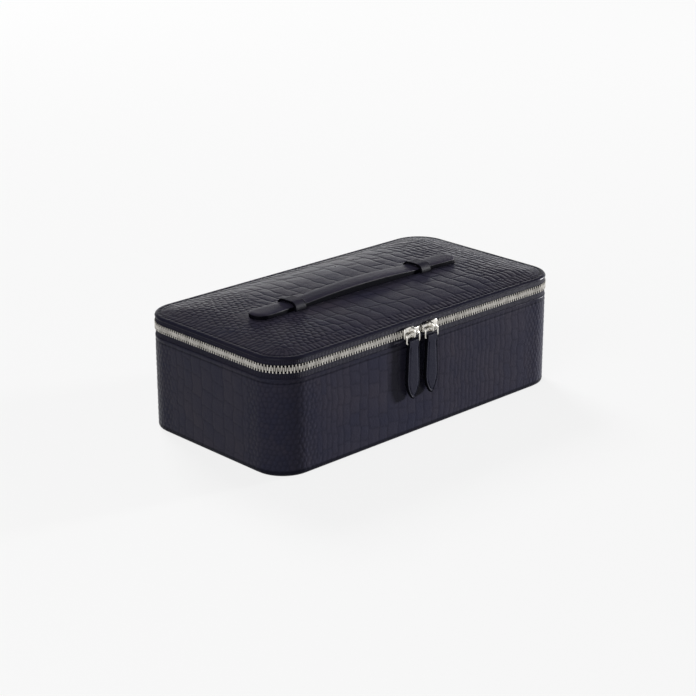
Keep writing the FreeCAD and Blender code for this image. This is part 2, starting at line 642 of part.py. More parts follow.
def pull_tab(side, where):
    # The tab flares from its fold and ends in two curves that meet in a small round tip.
    tab = new_body(f"pull_tab_{side}")
    outline = new_sketch(tab, f"pull_outline_{side}", "XZ_Plane", f"{PIVOT_Y} - pullThick / 2")
    fold, tip = measure(FOLD_Z), measure(TIP_Z)
    half_fold, half_flare = size("pullWide") / 2, size("pullFlare") / 2
    curve, nose = size("pullCurve"), size("pullNose")
    nose_z = tip + nose
    flare_z = nose_z + math.sqrt((curve - nose) ** 2 - (curve - half_flare) ** 2)
    slant = math.degrees(math.atan2(flare_z - nose_z, curve - half_flare))
    top = line(outline, (half_fold, fold), (-half_fold, fold))
    left = line(outline, (-half_fold, fold), (-half_flare, flare_z))
    left_end = arc(outline, (curve - half_flare, flare_z), curve, 180, 180 + slant)
    point = arc(outline, (0, nose_z), nose, 180 + slant, 360 - slant)
    right_end = arc(outline, (half_flare - curve, flare_z), curve, -slant, 0)
    right = line(outline, (half_flare, flare_z), (half_fold, fold))
    for a, b in ((top, left), (left, left_end), (right_end, right), (right, top)):
        outline.addConstraint(Rule("Coincident", a, 2, b, 1))
    outline.addConstraint(Rule("Tangent", left_end, 2, point, 1))
    outline.addConstraint(Rule("Tangent", point, 2, right_end, 1))
    outline.addConstraint(Rule("PointOnObject", point, 3, -2))
    outline.addConstraint(Rule("Horizontal", left_end, 1, left_end, 3))
    outline.addConstraint(Rule("Horizontal", right_end, 2, right_end, 3))
    for item, radius in ((left_end, "pullCurve"), (right_end, "pullCurve"), (point, "pullNose")):
        bind(outline, Rule("Radius", item, size(radius)), radius)
    hold(outline, top, 1, "pullWide / 2", FOLD_Z)
    hold(outline, top, 2, minus("pullWide / 2"), FOLD_Z)
    bind(outline, Rule("DistanceX", -1, 1, right, 1, half_flare), "pullFlare / 2")
    bind(outline, Rule("DistanceX", -1, 1, left, 2, -half_flare), minus("pullFlare / 2"))
    bind(outline, Rule("DistanceY", -1, 1, point, 3, nose_z), f"{TIP_Z} + pullNose")
    leaf = pad(tab, outline, f"pull_leaf_{side}", "pullThick")
    level = at_height(fold)
    dress(tab, leaf, f"pull_fold_{side}", "Fillet", "pullRound",
          lambda box: level(box) and box.XMax - box.XMin > half_fold)
    hole = new_sketch(tab, f"pull_hole_{side}", "YZ_Plane")
    reach = "ringWire / 2 + wireClear"
    centre = V(-measure(PIVOT_Y), measure(BAR_Z), 0)
    bore = hole.addGeometry(Part.Circle(centre, V(0, 0, 1), measure(reach)))
    bind(hole, Rule("Radius", bore, measure(reach)), reach)
    hold(hole, bore, 3, minus(PIVOT_Y), BAR_Z)
    pocket_all(tab, hole, f"pull_bore_{side}")
    tab.setExpression("Placement.Base.x", ex(where))
    keep(f"pull_tab_{side}", tab)


for side, where in (("left", "sliderLeftX"), ("right", "sliderRightX")):
    pull_ring(side, where)
    pull_tab(side, where)

# Inside: ring bed with padded rolls, and the dividers of the compartments.
IN_X = f"( caseLength / 2 - {LINING_IN} - fitClear )"
IN_Y = f"( caseDepth / 2 - {LINING_IN} - fitClear )"
BED_TOP = f"( {FLOOR_TOP} + bedTall )"
WELL_X0 = f"( wellSet - {IN_X} )"
WELL_X1 = "( bedEndX - wellEnd )"
WELL_Y = f"( {IN_Y} - wellRim )"

body = new_body("ring_bed")
slab(body, "bed", f"{LINING_IN} + fitClear", FLOOR_TOP, "bedTall")
sketch = new_sketch(body, "bed_trim", "XY_Plane")
rectangle(sketch, "bedEndX", "caseLength", minus("caseDepth"), "caseDepth")
pocket_all(body, sketch, "bed_end")
sketch = new_sketch(body, "bed_well", "XY_Plane", BED_TOP)
rectangle(sketch, WELL_X0, WELL_X1, minus(WELL_Y), WELL_Y)
well = body.newObject("PartDesign::Pocket", "bed_well_cut")
well.Profile = sketch
well.setExpression("Length", ex("wellDeep"))
keep("ring_bed", body)

ROLL_WIDE = f"( ( {WELL_X1} - {WELL_X0} ) / rollCount )"
ROLL_R = f"( {ROLL_WIDE} / 2 - fitClear / 2 )"
ROLL_HALF = f"( {WELL_Y} - fitClear )"


def ring_roll(number):
    # A padded roll: full in its middle, drawn in towards its soft ends, lying across the well.
    name = f"ring_roll_{number}"
    roll = new_body(name)
    profile = new_sketch(roll, f"{name}_profile", "XY_Plane", f"{BED_TOP} - wellDeep + {ROLL_R}")
    half = [("0", ROLL_HALF), (f"{ROLL_R} - rollEase", ROLL_HALF), (ROLL_R, f"{ROLL_HALF} - rollEase")]
    polyline(profile, half + [(x, minus(y)) for x, y in reversed(half)])
    turn = roll.newObject("PartDesign::Revolution", f"{name}_turn")
    turn.Profile = profile
    turn.ReferenceAxis = (profile, ["V_Axis"])
    turn.Angle = 360
    roll.setExpression("Placement.Base.x", ex(f"{WELL_X0} + {ROLL_WIDE} * ( {number} - 1 / 2 )"))
    keep(name, roll)


for number in range(1, int(size("rollCount")) + 1):
    ring_roll(number)


def divider(name, x0, x1, y0, y1):
    wall = new_body(name)
    outline = new_sketch(wall, f"{name}_outline", "XY_Plane", FLOOR_TOP)
    rectangle(outline, x0, x1, y0, y1)
    upright = pad(wall, outline, f"{name}_pad", f"{WALL_TOP} - dividerDrop - {FLOOR_TOP}")
    level = at_height(measure(f"{WALL_TOP} - dividerDrop"))
    thick = size("dividerThick")
    dress(wall, upright, f"{name}_round", "Fillet", "dividerRound",
          lambda box: level(box) and max(box.XMax - box.XMin, box.YMax - box.YMin) > thick + SAME)
    keep(name, wall)


CROSS_X = "( bedEndX + dividerThick )"
divider("divider_cross", "bedEndX", CROSS_X, minus(IN_Y), IN_Y)
divider("divider_long", CROSS_X, IN_X, minus("dividerThick / 2"), "dividerThick / 2")
divider("divider_rear", "rearSplitX", "rearSplitX + dividerThick", "dividerThick / 2", IN_Y)

doc.recompute()
bad = [o.Name for o in doc.Objects if "Invalid" in o.State or "Error" in o.State]
if bad:
    raise RuntimeError(f"objects that did not build: {bad}")
for name, obj in nodes.items():
    if obj.Shape.isNull() or not obj.Shape.isValid() or obj.Shape.Volume <= 0:
        raise RuntimeError(f"{name} has no sound solid")
    obj.Shape.exportStep(f"parts/{name}.step")
    print(name, len(obj.Shape.Solids), round(obj.Shape.Volume, 1))
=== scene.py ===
import bmesh
import bpy
import math
import random
import numpy as np
from mathutils import Matrix, Vector, kdtree


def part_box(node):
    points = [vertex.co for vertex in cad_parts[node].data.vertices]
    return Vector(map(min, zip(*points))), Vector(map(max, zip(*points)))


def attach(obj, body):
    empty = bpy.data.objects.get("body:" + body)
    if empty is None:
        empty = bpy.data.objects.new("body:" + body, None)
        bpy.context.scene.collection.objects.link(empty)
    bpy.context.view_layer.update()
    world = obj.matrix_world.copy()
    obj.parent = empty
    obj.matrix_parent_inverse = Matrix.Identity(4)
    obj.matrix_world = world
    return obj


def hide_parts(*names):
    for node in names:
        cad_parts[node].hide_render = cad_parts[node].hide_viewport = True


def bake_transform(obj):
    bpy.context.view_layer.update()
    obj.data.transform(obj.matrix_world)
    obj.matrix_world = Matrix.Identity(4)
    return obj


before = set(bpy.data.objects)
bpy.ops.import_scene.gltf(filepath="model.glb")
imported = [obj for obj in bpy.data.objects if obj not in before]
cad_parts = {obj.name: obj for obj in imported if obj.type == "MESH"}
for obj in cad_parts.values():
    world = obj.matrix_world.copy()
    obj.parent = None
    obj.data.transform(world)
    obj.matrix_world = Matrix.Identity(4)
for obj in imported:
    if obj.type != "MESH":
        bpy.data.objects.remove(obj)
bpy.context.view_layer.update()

scene = bpy.context.scene
metre = 0.001  # pieces are modelled in millimetres and scaled once


def boxMm(node):
    low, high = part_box(node)
    return [v / metre for v in low], [v / metre for v in high]


wallLow, wallHigh = boxMm("base_wall_leather")
lidLow, lidHigh = boxMm("lid_leather")
toothHigh = boxMm("lower_zip_teeth")[1]
hingeEnd = boxMm("hinge_leather")[1][0]
solidTooth = {"reach": 0.7, "halfDeep": 1.0}  # the CAD tooth, past the line of mesh and across
hingeGap = 0.5  # from the end of the hinge to the end of the tape
case = {
    "halfX": wallHigh[0], "halfY": wallHigh[1], "corner": 21.0, "foot": wallLow[2], "wallTop": wallHigh[2],
    "lidEdge": lidLow[2], "lidTop": lidHigh[2], "zipZ": toothHigh[2] - solidTooth["reach"],
    "chainOut": toothHigh[0] - wallHigh[0] - solidTooth["halfDeep"], "chainHalf": 2.25, "tapeOut": -0.4,
    "hingeHalf": hingeEnd + hingeGap,
}
runX = case["halfX"] - case["corner"]  # half of the straight front
runY = case["halfY"] - case["corner"]
quarter = case["corner"] * math.pi / 2
outline = 4 * (runX + runY + quarter)


def toMesh(name, bm):
    mesh = bpy.data.meshes.new(name)
    bm.to_mesh(mesh)
    bm.free()
    return mesh


def linkMesh(mesh, material):
    mesh.materials.append(material)
    piece = bpy.data.objects.new(mesh.name, mesh)
    scene.collection.objects.link(piece)
    return piece


def newPiece(name, bm, material, body, smooth=True, recalc=True):
    if recalc:
        bmesh.ops.recalc_face_normals(bm, faces=bm.faces)
    bmesh.ops.scale(bm, vec=(metre, metre, metre), verts=bm.verts)
    piece = linkMesh(toMesh(name, bm), material)
    piece.data.polygons.foreach_set("use_smooth", [smooth] * len(piece.data.polygons))
    if body:
        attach(piece, body)
    return piece


def sharpen(piece, degrees):
    # keeps crisp folds on a smooth shaded piece
    piece.data.set_sharp_from_angle(angle=math.radians(degrees))


def bevelEdges(bm, edges, offset, segments):
    bmesh.ops.bevel(bm, geom=edges, offset=offset, segments=segments, profile=0.5, affect="EDGES",
                    material=-1)


def madeVerts(geom):
    # the new vertices among what an operator gives back
    return [v for v in geom if isinstance(v, bmesh.types.BMVert)]


def nodeBlock(node):
    # a block that fills a CAD node's box
    low, high = boxMm(node)
    bm = bmesh.new()
    bmesh.ops.create_cube(bm, size=1)
    bmesh.ops.scale(bm, vec=[b - a for a, b in zip(low, high)], verts=bm.verts)
    bmesh.ops.translate(bm, vec=[(a + b) / 2 for a, b in zip(low, high)], verts=bm.verts)
    return bm, low, high


def sweepCase(bm, profile, startX, step):
    # carries a closed profile of (out, z) points round the case, from the back left to the back right
    verts = [bm.verts.new((-startX, case["halfY"] + out, z)) for out, z in profile]
    first = verts + [bm.edges.new(pair) for pair in zip(verts, verts[1:] + verts[:1])]
    back = runX - startX
    turnSteps = max(6, round(quarter / step))
    runs = [((-back, 0), (-runX, runY)), ((0, -2 * runY), (-runX, -runY)), ((2 * runX, 0), (runX, -runY)),
            ((0, 2 * runY), (runX, runY)), ((-back, 0), None)]
    geom = first
    for (dx, dy), turn in runs:
        steps = max(1, round(math.hypot(dx, dy) / step))
        geom = bmesh.ops.spin(bm, geom=geom, cent=(0, 0, 0), axis=(0, 0, 1), angle=0, steps=steps,
                              dvec=(dx / steps, dy / steps, 0))["geom_last"]
        if turn:
            geom = bmesh.ops.spin(bm, geom=geom, cent=(*turn, 0), axis=(0, 0, 1), angle=math.pi / 2,
                                  steps=turnSteps)["geom_last"]
    if startX == 0:
        bmesh.ops.remove_doubles(bm, verts=bm.verts, dist=0.01)
    else:
        for end in (first, geom):
            bmesh.ops.contextual_create(bm, geom=[e for e in end if isinstance(e, bmesh.types.BMEdge)])
    return bm


def roundCorners(bm):
    # a grid's square corners become quarter discs
    for vert in bm.verts:
        cx, cy = abs(vert.co.x) - runX, abs(vert.co.y) - runY
        if cx > 0 and cy > 0:
            reach = max(cx, cy)
            angle = math.pi / 4 * (cy / cx if cx >= cy else 2 - cx / cy)
            vert.co.x = math.copysign(runX + reach * math.cos(angle), vert.co.x)
            vert.co.y = math.copysign(runY + reach * math.sin(angle), vert.co.y)


def outward(x, y):
    # how far points lie outside the outline, and which way is out
    cx, cy = np.abs(x) - runX, np.abs(y) - runY
    corner = (cx > 0) & (cy > 0)
    reach = np.where(corner, np.hypot(cx, cy), 1)
    side = ~corner & (cx > cy)
    out = np.where(corner, reach, np.where(side, cx, cy)) - case["corner"]
    nx = np.where(corner, cx / reach, side) * np.sign(x)
    ny = np.where(corner, cy / reach, ~side) * np.sign(y)
    return out, nx, ny


def alongOutline(x, y):
    # place round the outline, from the back middle to the left
    cx, cy = np.abs(x) - runX, np.abs(y) - runY
    corner, side = (cx > 0) & (cy > 0), cx > cy
    bend = case["corner"] * np.arctan2(np.where(y > 0, cx, cy), np.where(y > 0, cy, cx))
    turned = runX + bend + np.where(y > 0, 0, quarter + 2 * runY)
    straight = np.where(side, runX + quarter + runY - y, np.where(y > 0, np.abs(x), outline / 2 - np.abs(x)))
    half = np.where(corner, turned, straight)
    return np.where(x <= 0, half, outline - half)


def zipStation(along):
    # a point on the middle of the chain and its outward angle, from the left end of the hinge
    radius = case["corner"] + case["chainOut"]
    turn = radius * math.pi / 2
    back = runX - case["hingeHalf"] - teeth["pitch"] / 2
    runs = [((-runX + back, runY + radius), (-1, 0), back, (-runX, runY), 90),
            ((-runX - radius, runY), (0, -1), 2 * runY, (-runX, -runY), 180),
            ((-runX, -runY - radius), (1, 0), 2 * runX, (runX, -runY), 270),
            ((runX + radius, -runY), (0, 1), 2 * runY, (runX, runY), 0),
            ((runX, runY + radius), (-1, 0), back, None, 0)]
    for (x, y), (ux, uy), length, centre, start in runs:
        if along <= length or centre is None:
            return x + ux * along, y + uy * along, math.atan2(-ux, uy)
        along -= length
        if along <= turn:
            angle = math.radians(start) + along / radius
            return centre[0] + radius * math.cos(angle), centre[1] + radius * math.sin(angle), angle
        along -= turn


def ease(low, high, x):
    t = np.clip((np.asarray(x, dtype=float) - low) / (high - low), 0, 1)
    return t * t * (3 - 2 * t)


plateCut = {"margin": 20, "wide": (0.78, 1.22), "tall": (0.7, 1.3), "reach": 90, "lean": 0.18, "least": 0.14,
            "stray": 0.28}


def columnPlates(main, cross, wide, tall, seed, wander, whole=None):
    # distance in mm to the creases of plates that stand in columns, and a shade for each plate
    dice = np.random.default_rng(seed)
    # slow waves bend the columns
    main = main + wander * (np.sin(cross * 0.23 + 1.7) + 0.6 * np.sin(cross * 0.57 + main * 0.05))
    start, end = (0.0, whole) if whole else (main.min() - plateCut["margin"], main.max() + plateCut["margin"])
    bounds = [start]
    while bounds[-1] < end:
        bounds.append(bounds[-1] + wide(bounds[-1]) * dice.uniform(*plateCut["wide"]))
    bounds = np.array(bounds)
    if whole:
        bounds *= whole / bounds[-1]
        main = np.mod(main, whole)
    column = np.clip(np.searchsorted(bounds, main) - 1, 0, len(bounds) - 2)
    sideGap = np.minimum(main - bounds[column], bounds[column + 1] - main)
    endGap, shade = np.full(len(main), 50.0), np.full(len(main), 0.5)
    for index in np.unique(column):
        mine = column == index
        height = float(tall(bounds[index]))
        count = int(2 * plateCut["reach"] / height) + 4
        joints = np.cumsum(height * dice.uniform(*plateCut["tall"], count))
        joints += -plateCut["reach"] - height * dice.uniform(0, 1)
        place = cross[mine] + plateCut["lean"] * (main[mine] - bounds[index])
        row = np.clip(np.searchsorted(joints, place) - 1, 0, len(joints) - 2)
        endGap[mine] = np.minimum(np.abs(place - joints[row]), np.abs(joints[row + 1] - place))
        shade[mine] = dice.uniform(0, 1, len(joints))[row]
    a, b = np.maximum(sideGap, plateCut["least"]), np.maximum(endGap, plateCut["least"])
    return (a ** -3 + b ** -3) ** (-1 / 3), shade


def pebbles(main, cross, cell, seed, wanted, whole=None):
    # the same for small round scales, found only where they are wanted
    dice = random.Random(seed)
    start, end = (0.0, whole) if whole else (main.min() - cell, main.max() + cell)
    count = round((end - start) / cell)
    pitch = (end - start) / count
    rows, stray = int((cross.max() - cross.min()) / cell) + 4, plateCut["stray"]
    tree = kdtree.KDTree((count + 4) * rows)
    shade = []
    for j in range(rows):
        spots = [(dice.uniform(-stray, stray), dice.uniform(-stray, stray), dice.random())
                 for _ in range(count)]
        for i in range(-2, count + 2):
            dx, dy, tone = spots[i % count]
            x = start + (i + 0.5 + 0.5 * (j % 2) + dx) * pitch
            tree.insert((x, cross.min() + (j - 1.5 + dy) * cell, 0), len(shade))
            shade.append(tone)
    tree.balance()
    gap, tone = np.full(len(main), 9.0), np.full(len(main), 0.5)
    for k in np.flatnonzero(wanted):
        near = tree.find_n((main[k], cross[k], 0), 2)
        gap[k] = (near[1][2] - near[0][2]) / 2
        tone[k] = shade[near[0][1]]
    return gap, tone


def storeField(piece, name, values):
    layer = piece.data.attributes.new(name, "FLOAT", "POINT")
    layer.data.foreach_set("value", np.asarray(values, dtype=np.float32))


def vertMm(piece):
    flat = np.empty(3 * len(piece.data.vertices), dtype=np.float32)
    piece.data.vertices.foreach_get("co", flat)
    return flat.reshape(-1, 3).astype(float) / metre


def setVertMm(piece, points):
    piece.data.vertices.foreach_set("co", (points * metre).astype(np.float32).ravel())
    piece.data.update()


def newMaterial(name):
    material = bpy.data.materials.new(name)
    material.use_nodes = True
    tree = material.node_tree
    return material, tree, tree.nodes["Principled BSDF"]


def shaderNode(tree, kind, **values):
    made = tree.nodes.new(kind)
    for key, value in values.items():
        if key in made.inputs:
            made.inputs[key].default_value = value
        else:
            setattr(made, key, value)
    return made


def objectPlace(tree):
    return shaderNode(tree, "ShaderNodeTexCoord").outputs["Object"]


def fieldValue(tree, name):
    # a value stored in the mesh
    return shaderNode(tree, "ShaderNodeAttribute", attribute_name=name).outputs["Fac"]


def setInputs(shader, values):
    for key, value in values.items():
        shader.inputs[key].default_value = value


def addShare(tree, value, share, base):
    made = shaderNode(tree, "ShaderNodeMath", operation="MULTIPLY_ADD")
    tree.links.new(value, made.inputs[0])
    made.inputs[1].default_value = share
    tree.links.new(base, made.inputs[2])
    return made.outputs[0]


def stained(tree, share, colour, stain):
    # a darker colour laid over the first by the share
    mix = shaderNode(tree, "ShaderNodeMix", data_type="RGBA")
    tree.links.new(share, mix.inputs["Factor"])
    tree.links.new(colour, mix.inputs["A"])
    mix.inputs["B"].default_value = (*stain, 1)
    return mix.outputs["Result"]


def texture(tree, kind, source, **values):
    made = shaderNode(tree, kind, **values)
    tree.links.new(source, made.inputs["Vector"])
    return made


def noise(tree, source, **values):
    return texture(tree, "ShaderNodeTexNoise", source, **values).outputs["Fac"]


def ramp(tree, source, stops):
    made = tree.nodes.new("ShaderNodeValToRGB")
    tree.links.new(source, made.inputs["Fac"])
    while len(made.color_ramp.elements) < len(stops):
        made.color_ramp.elements.new(0.5)
    for element, (place, colour) in zip(made.color_ramp.elements, stops):
        element.position = place
        element.color = (*colour, 1)
    return made.outputs["Color"]


def spread(tree, source, low, high):
    made = shaderNode(tree, "ShaderNodeMapRange", **{"To Min": low, "To Max": high})
    tree.links.new(source, made.inputs["Value"])
    return made.outputs["Result"]


def bump(tree, shader, height, strength, distance, under=None):
    made = shaderNode(tree, "ShaderNodeBump", Strength=strength, Distance=distance)
    tree.links.new(height, made.inputs["Height"])
    if under:
        tree.links.new(under, made.inputs["Normal"])
    tree.links.new(made.outputs["Normal"], shader.inputs["Normal"])
    return made.outputs["Normal"]


# worn is the paler plate colour, reached by random plate tones, and on the lid also by its painted light
crocLook = {"plate": (0.022, 0.0225, 0.041), "worn": (0.040, 0.035, 0.048), "crease": (0.005, 0.005, 0.012),
            "rough": (0.22, 0.40), "specular": 0.06, "toneShare": 0.14, "cloud": 20.0, "patch": 85.0,
            "wrinkle": 260.0, "grain": 1100.0}


def makeCrocLeather():
    material, tree, shader = newMaterial("navyCrocLeather")
    place = objectPlace(tree)
    cloud = noise(tree, place, Scale=crocLook["cloud"], Detail=5.0, Roughness=0.62)
    shade = addShare(tree, fieldValue(tree, "tone"), crocLook["toneShare"], cloud)
    colour = ramp(tree, shade, [(0.42, crocLook["plate"]), (0.95, crocLook["worn"])])
    creased = stained(tree, fieldValue(tree, "crease"), colour, crocLook["crease"])
    tree.links.new(creased, shader.inputs["Base Color"])
    patch = noise(tree, place, Scale=crocLook["patch"], Detail=4.0)
    tree.links.new(spread(tree, patch, *crocLook["rough"]), shader.inputs["Roughness"])
    setInputs(shader, {"Specular IOR Level": crocLook["specular"]})
    wrinkle = noise(tree, place, Scale=crocLook["wrinkle"], Detail=4.0, Roughness=0.6)
    pores = texture(tree, "ShaderNodeTexVoronoi", place, Scale=crocLook["grain"])
    first = bump(tree, shader, wrinkle, 0.35, 0.0005)
    bump(tree, shader, pores.outputs["Distance"], 0.16, 0.0002, first)
    return material


smoothLook = {"colour": (0.018, 0.017, 0.032), "worn": (0.036, 0.031, 0.047), "rough": (0.42, 0.58),
              "edge": (0.003, 0.003, 0.005), "specular": 0.28, "edgeSpecular": 0.01, "cloud": 70.0,
              "folds": 300.0, "grain": 1300.0}
pullLook = {**smoothLook, "colour": (0.018, 0.019, 0.042), "worn": (0.028, 0.028, 0.052), "specular": 0.12}


def makeSmoothLeather(name, look):
    material, tree, shader = newMaterial(name)
    place = objectPlace(tree)
    cloud = noise(tree, place, Scale=look["cloud"], Detail=5.0, Roughness=0.65)
    colour = ramp(tree, cloud, [(0.32, look["colour"]), (0.78, look["worn"])])
    edge = fieldValue(tree, "edge")
    tree.links.new(stained(tree, edge, colour, look["edge"]), shader.inputs["Base Color"])
    tree.links.new(spread(tree, cloud, *look["rough"]), shader.inputs["Roughness"])
    shine = spread(tree, edge, look["specular"], look["edgeSpecular"])
    tree.links.new(shine, shader.inputs["Specular IOR Level"])
    cells = texture(tree, "ShaderNodeTexVoronoi", place, Scale=look["grain"])
    folds = noise(tree, place, Scale=look["folds"], Detail=4.0)
    first = bump(tree, shader, cells.outputs["Distance"], 0.25, 0.0002)
    bump(tree, shader, folds, 0.3, 0.0004, first)
    return material


tapeLook = {"thread": (0.013, 0.012, 0.026), "gap": (0.004, 0.004, 0.009), "rib": 1.1, "warp": 0.5,
            "warpShare": 0.35, "rough": 0.8, "specular": 0.2}
waveScale = 0.314  # a wave texture of this scale repeats every unit


def makeTape():
    # the weave follows the tape by its own map, along in u and across in v, in millimetres
    material, tree, shader = newMaterial("navyZipTape")
    chart = shaderNode(tree, "ShaderNodeUVMap", uv_map="tape").outputs["UV"]
    ribs = texture(tree, "ShaderNodeTexWave", chart, Scale=waveScale / tapeLook["rib"], Distortion=0.5,
                   bands_direction="X")
    warp = texture(tree, "ShaderNodeTexWave", chart, Scale=tapeLook["warp"], Distortion=0.3,
                   bands_direction="Y")
    weave = addShare(tree, warp.outputs["Fac"], tapeLook["warpShare"], ribs.outputs["Fac"])
    colour = ramp(tree, weave, [(0.2, tapeLook["gap"]), (0.9, tapeLook["thread"])])
    tree.links.new(colour, shader.inputs["Base Color"])
    setInputs(shader, {"Roughness": tapeLook["rough"], "Specular IOR Level": tapeLook["specular"]})
    bump(tree, shader, weave, 0.6, 0.0004)
    return material


suedeLook = {"colours": [(0.3, (0.10, 0.093, 0.11)), (0.72, (0.19, 0.18, 0.205))],
             "mottle": {"Scale": 45.0, "Detail": 6.0, "Roughness": 0.7, "Distortion": 0.6},
             "grain": {"Scale": 1500.0, "Detail": 2.0}, "bump": (0.35, 0.0003),
             "inputs": {"Roughness": 0.92, "Specular IOR Level": 0.15, "Sheen Weight": 0.3}}
metalLook = {"colours": [(0.3, (0.50, 0.48, 0.44)), (0.6, (0.74, 0.72, 0.68))], "rough": (0.18, 0.34),
             "mottle": {"Scale": 260.0, "Detail": 4.0}, "grain": {"Scale": 900.0, "Detail": 2.0},
             "bump": (0.08, 0.0001), "inputs": {"Metallic": 1.0}}
# the teeth take a darker copy of the slider metal, with a rougher finish: the darker colour is painted shade
# for the shade among the chain's teeth
toothLook = {**metalLook, "colours": [(0.3, (0.32, 0.305, 0.28)), (0.6, (0.52, 0.50, 0.465))],
             "rough": (0.26, 0.42)}
pulp = {"Scale": 420.0, "Detail": 5.0, "Roughness": 0.7}
boardLook = {"colours": [(0.35, (0.28, 0.24, 0.18)), (0.62, (0.38, 0.33, 0.26))], "mottle": pulp,
             "grain": pulp, "bump": (0.2, 0.0003), "inputs": {"Roughness": 0.9}}


def makeMottled(name, look):
    # two colours parted by a noise, over a finer grain
    material, tree, shader = newMaterial(name)
    place = objectPlace(tree)
    mottle = noise(tree, place, **look["mottle"])
    tree.links.new(ramp(tree, mottle, look["colours"]), shader.inputs["Base Color"])
    setInputs(shader, look["inputs"])
    if "rough" in look:
        tree.links.new(spread(tree, mottle, *look["rough"]), shader.inputs["Roughness"])
    bump(tree, shader, noise(tree, place, **look["grain"]), *look["bump"])
    return material


crocLeather = makeCrocLeather()
smoothLeather = makeSmoothLeather("navySmoothLeather", smoothLook)
pullLeather = makeSmoothLeather("navyPullLeather", pullLook)
suede = makeMottled("greySuede", suedeLook)
zipTape = makeTape()
zipMetal = makeMottled("brightZipMetal", metalLook)
shadedToothMetal = makeMottled("shadedZipMetal", toothLook)
greyBoard = makeMottled("greyBoard", boardLook)
print("materials ready")


emboss = {"groove": 0.55, "grooveWide": 0.42, "dome": 0.45, "lineWide": 0.4}


def embossed(gap, deep, soft):
    # a narrow crease with domed plates either side
    groove = emboss["groove"] * np.exp(-(gap / emboss["grooveWide"]) ** 2)
    return -deep * (groove + emboss["dome"] * np.exp(-gap / soft))


def creaseLine(gap):
    return np.exp(-(gap / emboss["lineWide"]) ** 2)


lidCover = {"grid": 0.62, "crown": 0.72, "crownReach": 18, "dome": 1.5, "domeReach": 34, "rimInset": 1.8,
            "foldInset": 3.4, "foldWide": 0.5, "foldDeep": 0.3, "seed": 11,
            "calmX": (86, 96), "calmY": (7.5, 14), "calmest": 0.3,  # flatter under the strap
            # the lift in the lid's tone is painted light on the top; the rim's shade value is painted shade
            # above the recessed zip tape
            "creaseShade": 0.8, "rimShade": 0.55, "tone": (1.2, 0.8), "rimTone": 0.3,
            "rim": [(1.1, -0.13), (0.55, -0.42), (0.18, -0.85), (0.0, -1.35), (0.06, -1.75), (0.5, -1.88)]}
lidPlate = {"x": [-121, -60, -30, 10, 45, 75, 121], "wide": [5, 6, 10, 13, 10, 5, 3.4],
            "tall": [8, 12, 22, 30, 24, 12, 8], "wander": 0.55, "soft": 1.5,
            "deepX": [-110, -60, -30, 30, 70, 110], "deep": [0.34, 0.30, 0.2, 0.2, 0.36, 0.4]}
lidPebble = {"x": (-74, -52), "cell": 4.2, "deep": 0.36, "soft": 0.7}
lidBorder = {"inset": (9, 13), "wide": 3.4, "tall": 9.0, "wander": 0.3, "deep": 0.26, "soft": 0.9}


def lidHeight(inset):
    # crowned border that runs into a flat middle
    crown = lidCover["crown"] * ease(0, lidCover["crownReach"], inset)
    dome = lidCover["dome"] * ease(0, lidCover["domeReach"], inset)
    return case["lidTop"] - lidCover["crown"] + crown + dome


def lidPlates(x, y, inset):
    # pebbled at the left end, broad plates in the middle, narrow ribs at the right end and round the rim
    middle, middleTone = columnPlates(
        x, y, lambda s: np.interp(s, lidPlate["x"], lidPlate["wide"]),
        lambda s: np.interp(s, lidPlate["x"], lidPlate["tall"]), lidCover["seed"], lidPlate["wander"])
    pebbled = 1 - ease(*lidPebble["x"], x + 5 * np.sin(y * 0.11))
    left, leftTone = pebbles(x, y, lidPebble["cell"], lidCover["seed"] + 1, pebbled > 0)
    border, borderTone = columnPlates(
        alongOutline(x, y), inset, lambda s: lidBorder["wide"], lambda s: lidBorder["tall"],
        lidCover["seed"] + 2, lidBorder["wander"], outline)
    rimmed = 1 - ease(*lidBorder["inset"], inset + 1.5 * np.sin(x * 0.13))
    relief = embossed(middle, np.interp(x, lidPlate["deepX"], lidPlate["deep"]), lidPlate["soft"])
    relief = relief * (1 - pebbled) + embossed(left, lidPebble["deep"], lidPebble["soft"]) * pebbled
    relief = relief * (1 - rimmed) + embossed(border, lidBorder["deep"], lidBorder["soft"]) * rimmed
    crease = creaseLine(np.where(rimmed > 0.5, border, np.where(pebbled > 0.5, left, middle)))
    tone = np.where(rimmed > 0.5, borderTone, np.where(pebbled > 0.5, leftTone, middleTone))
    return relief, crease, tone


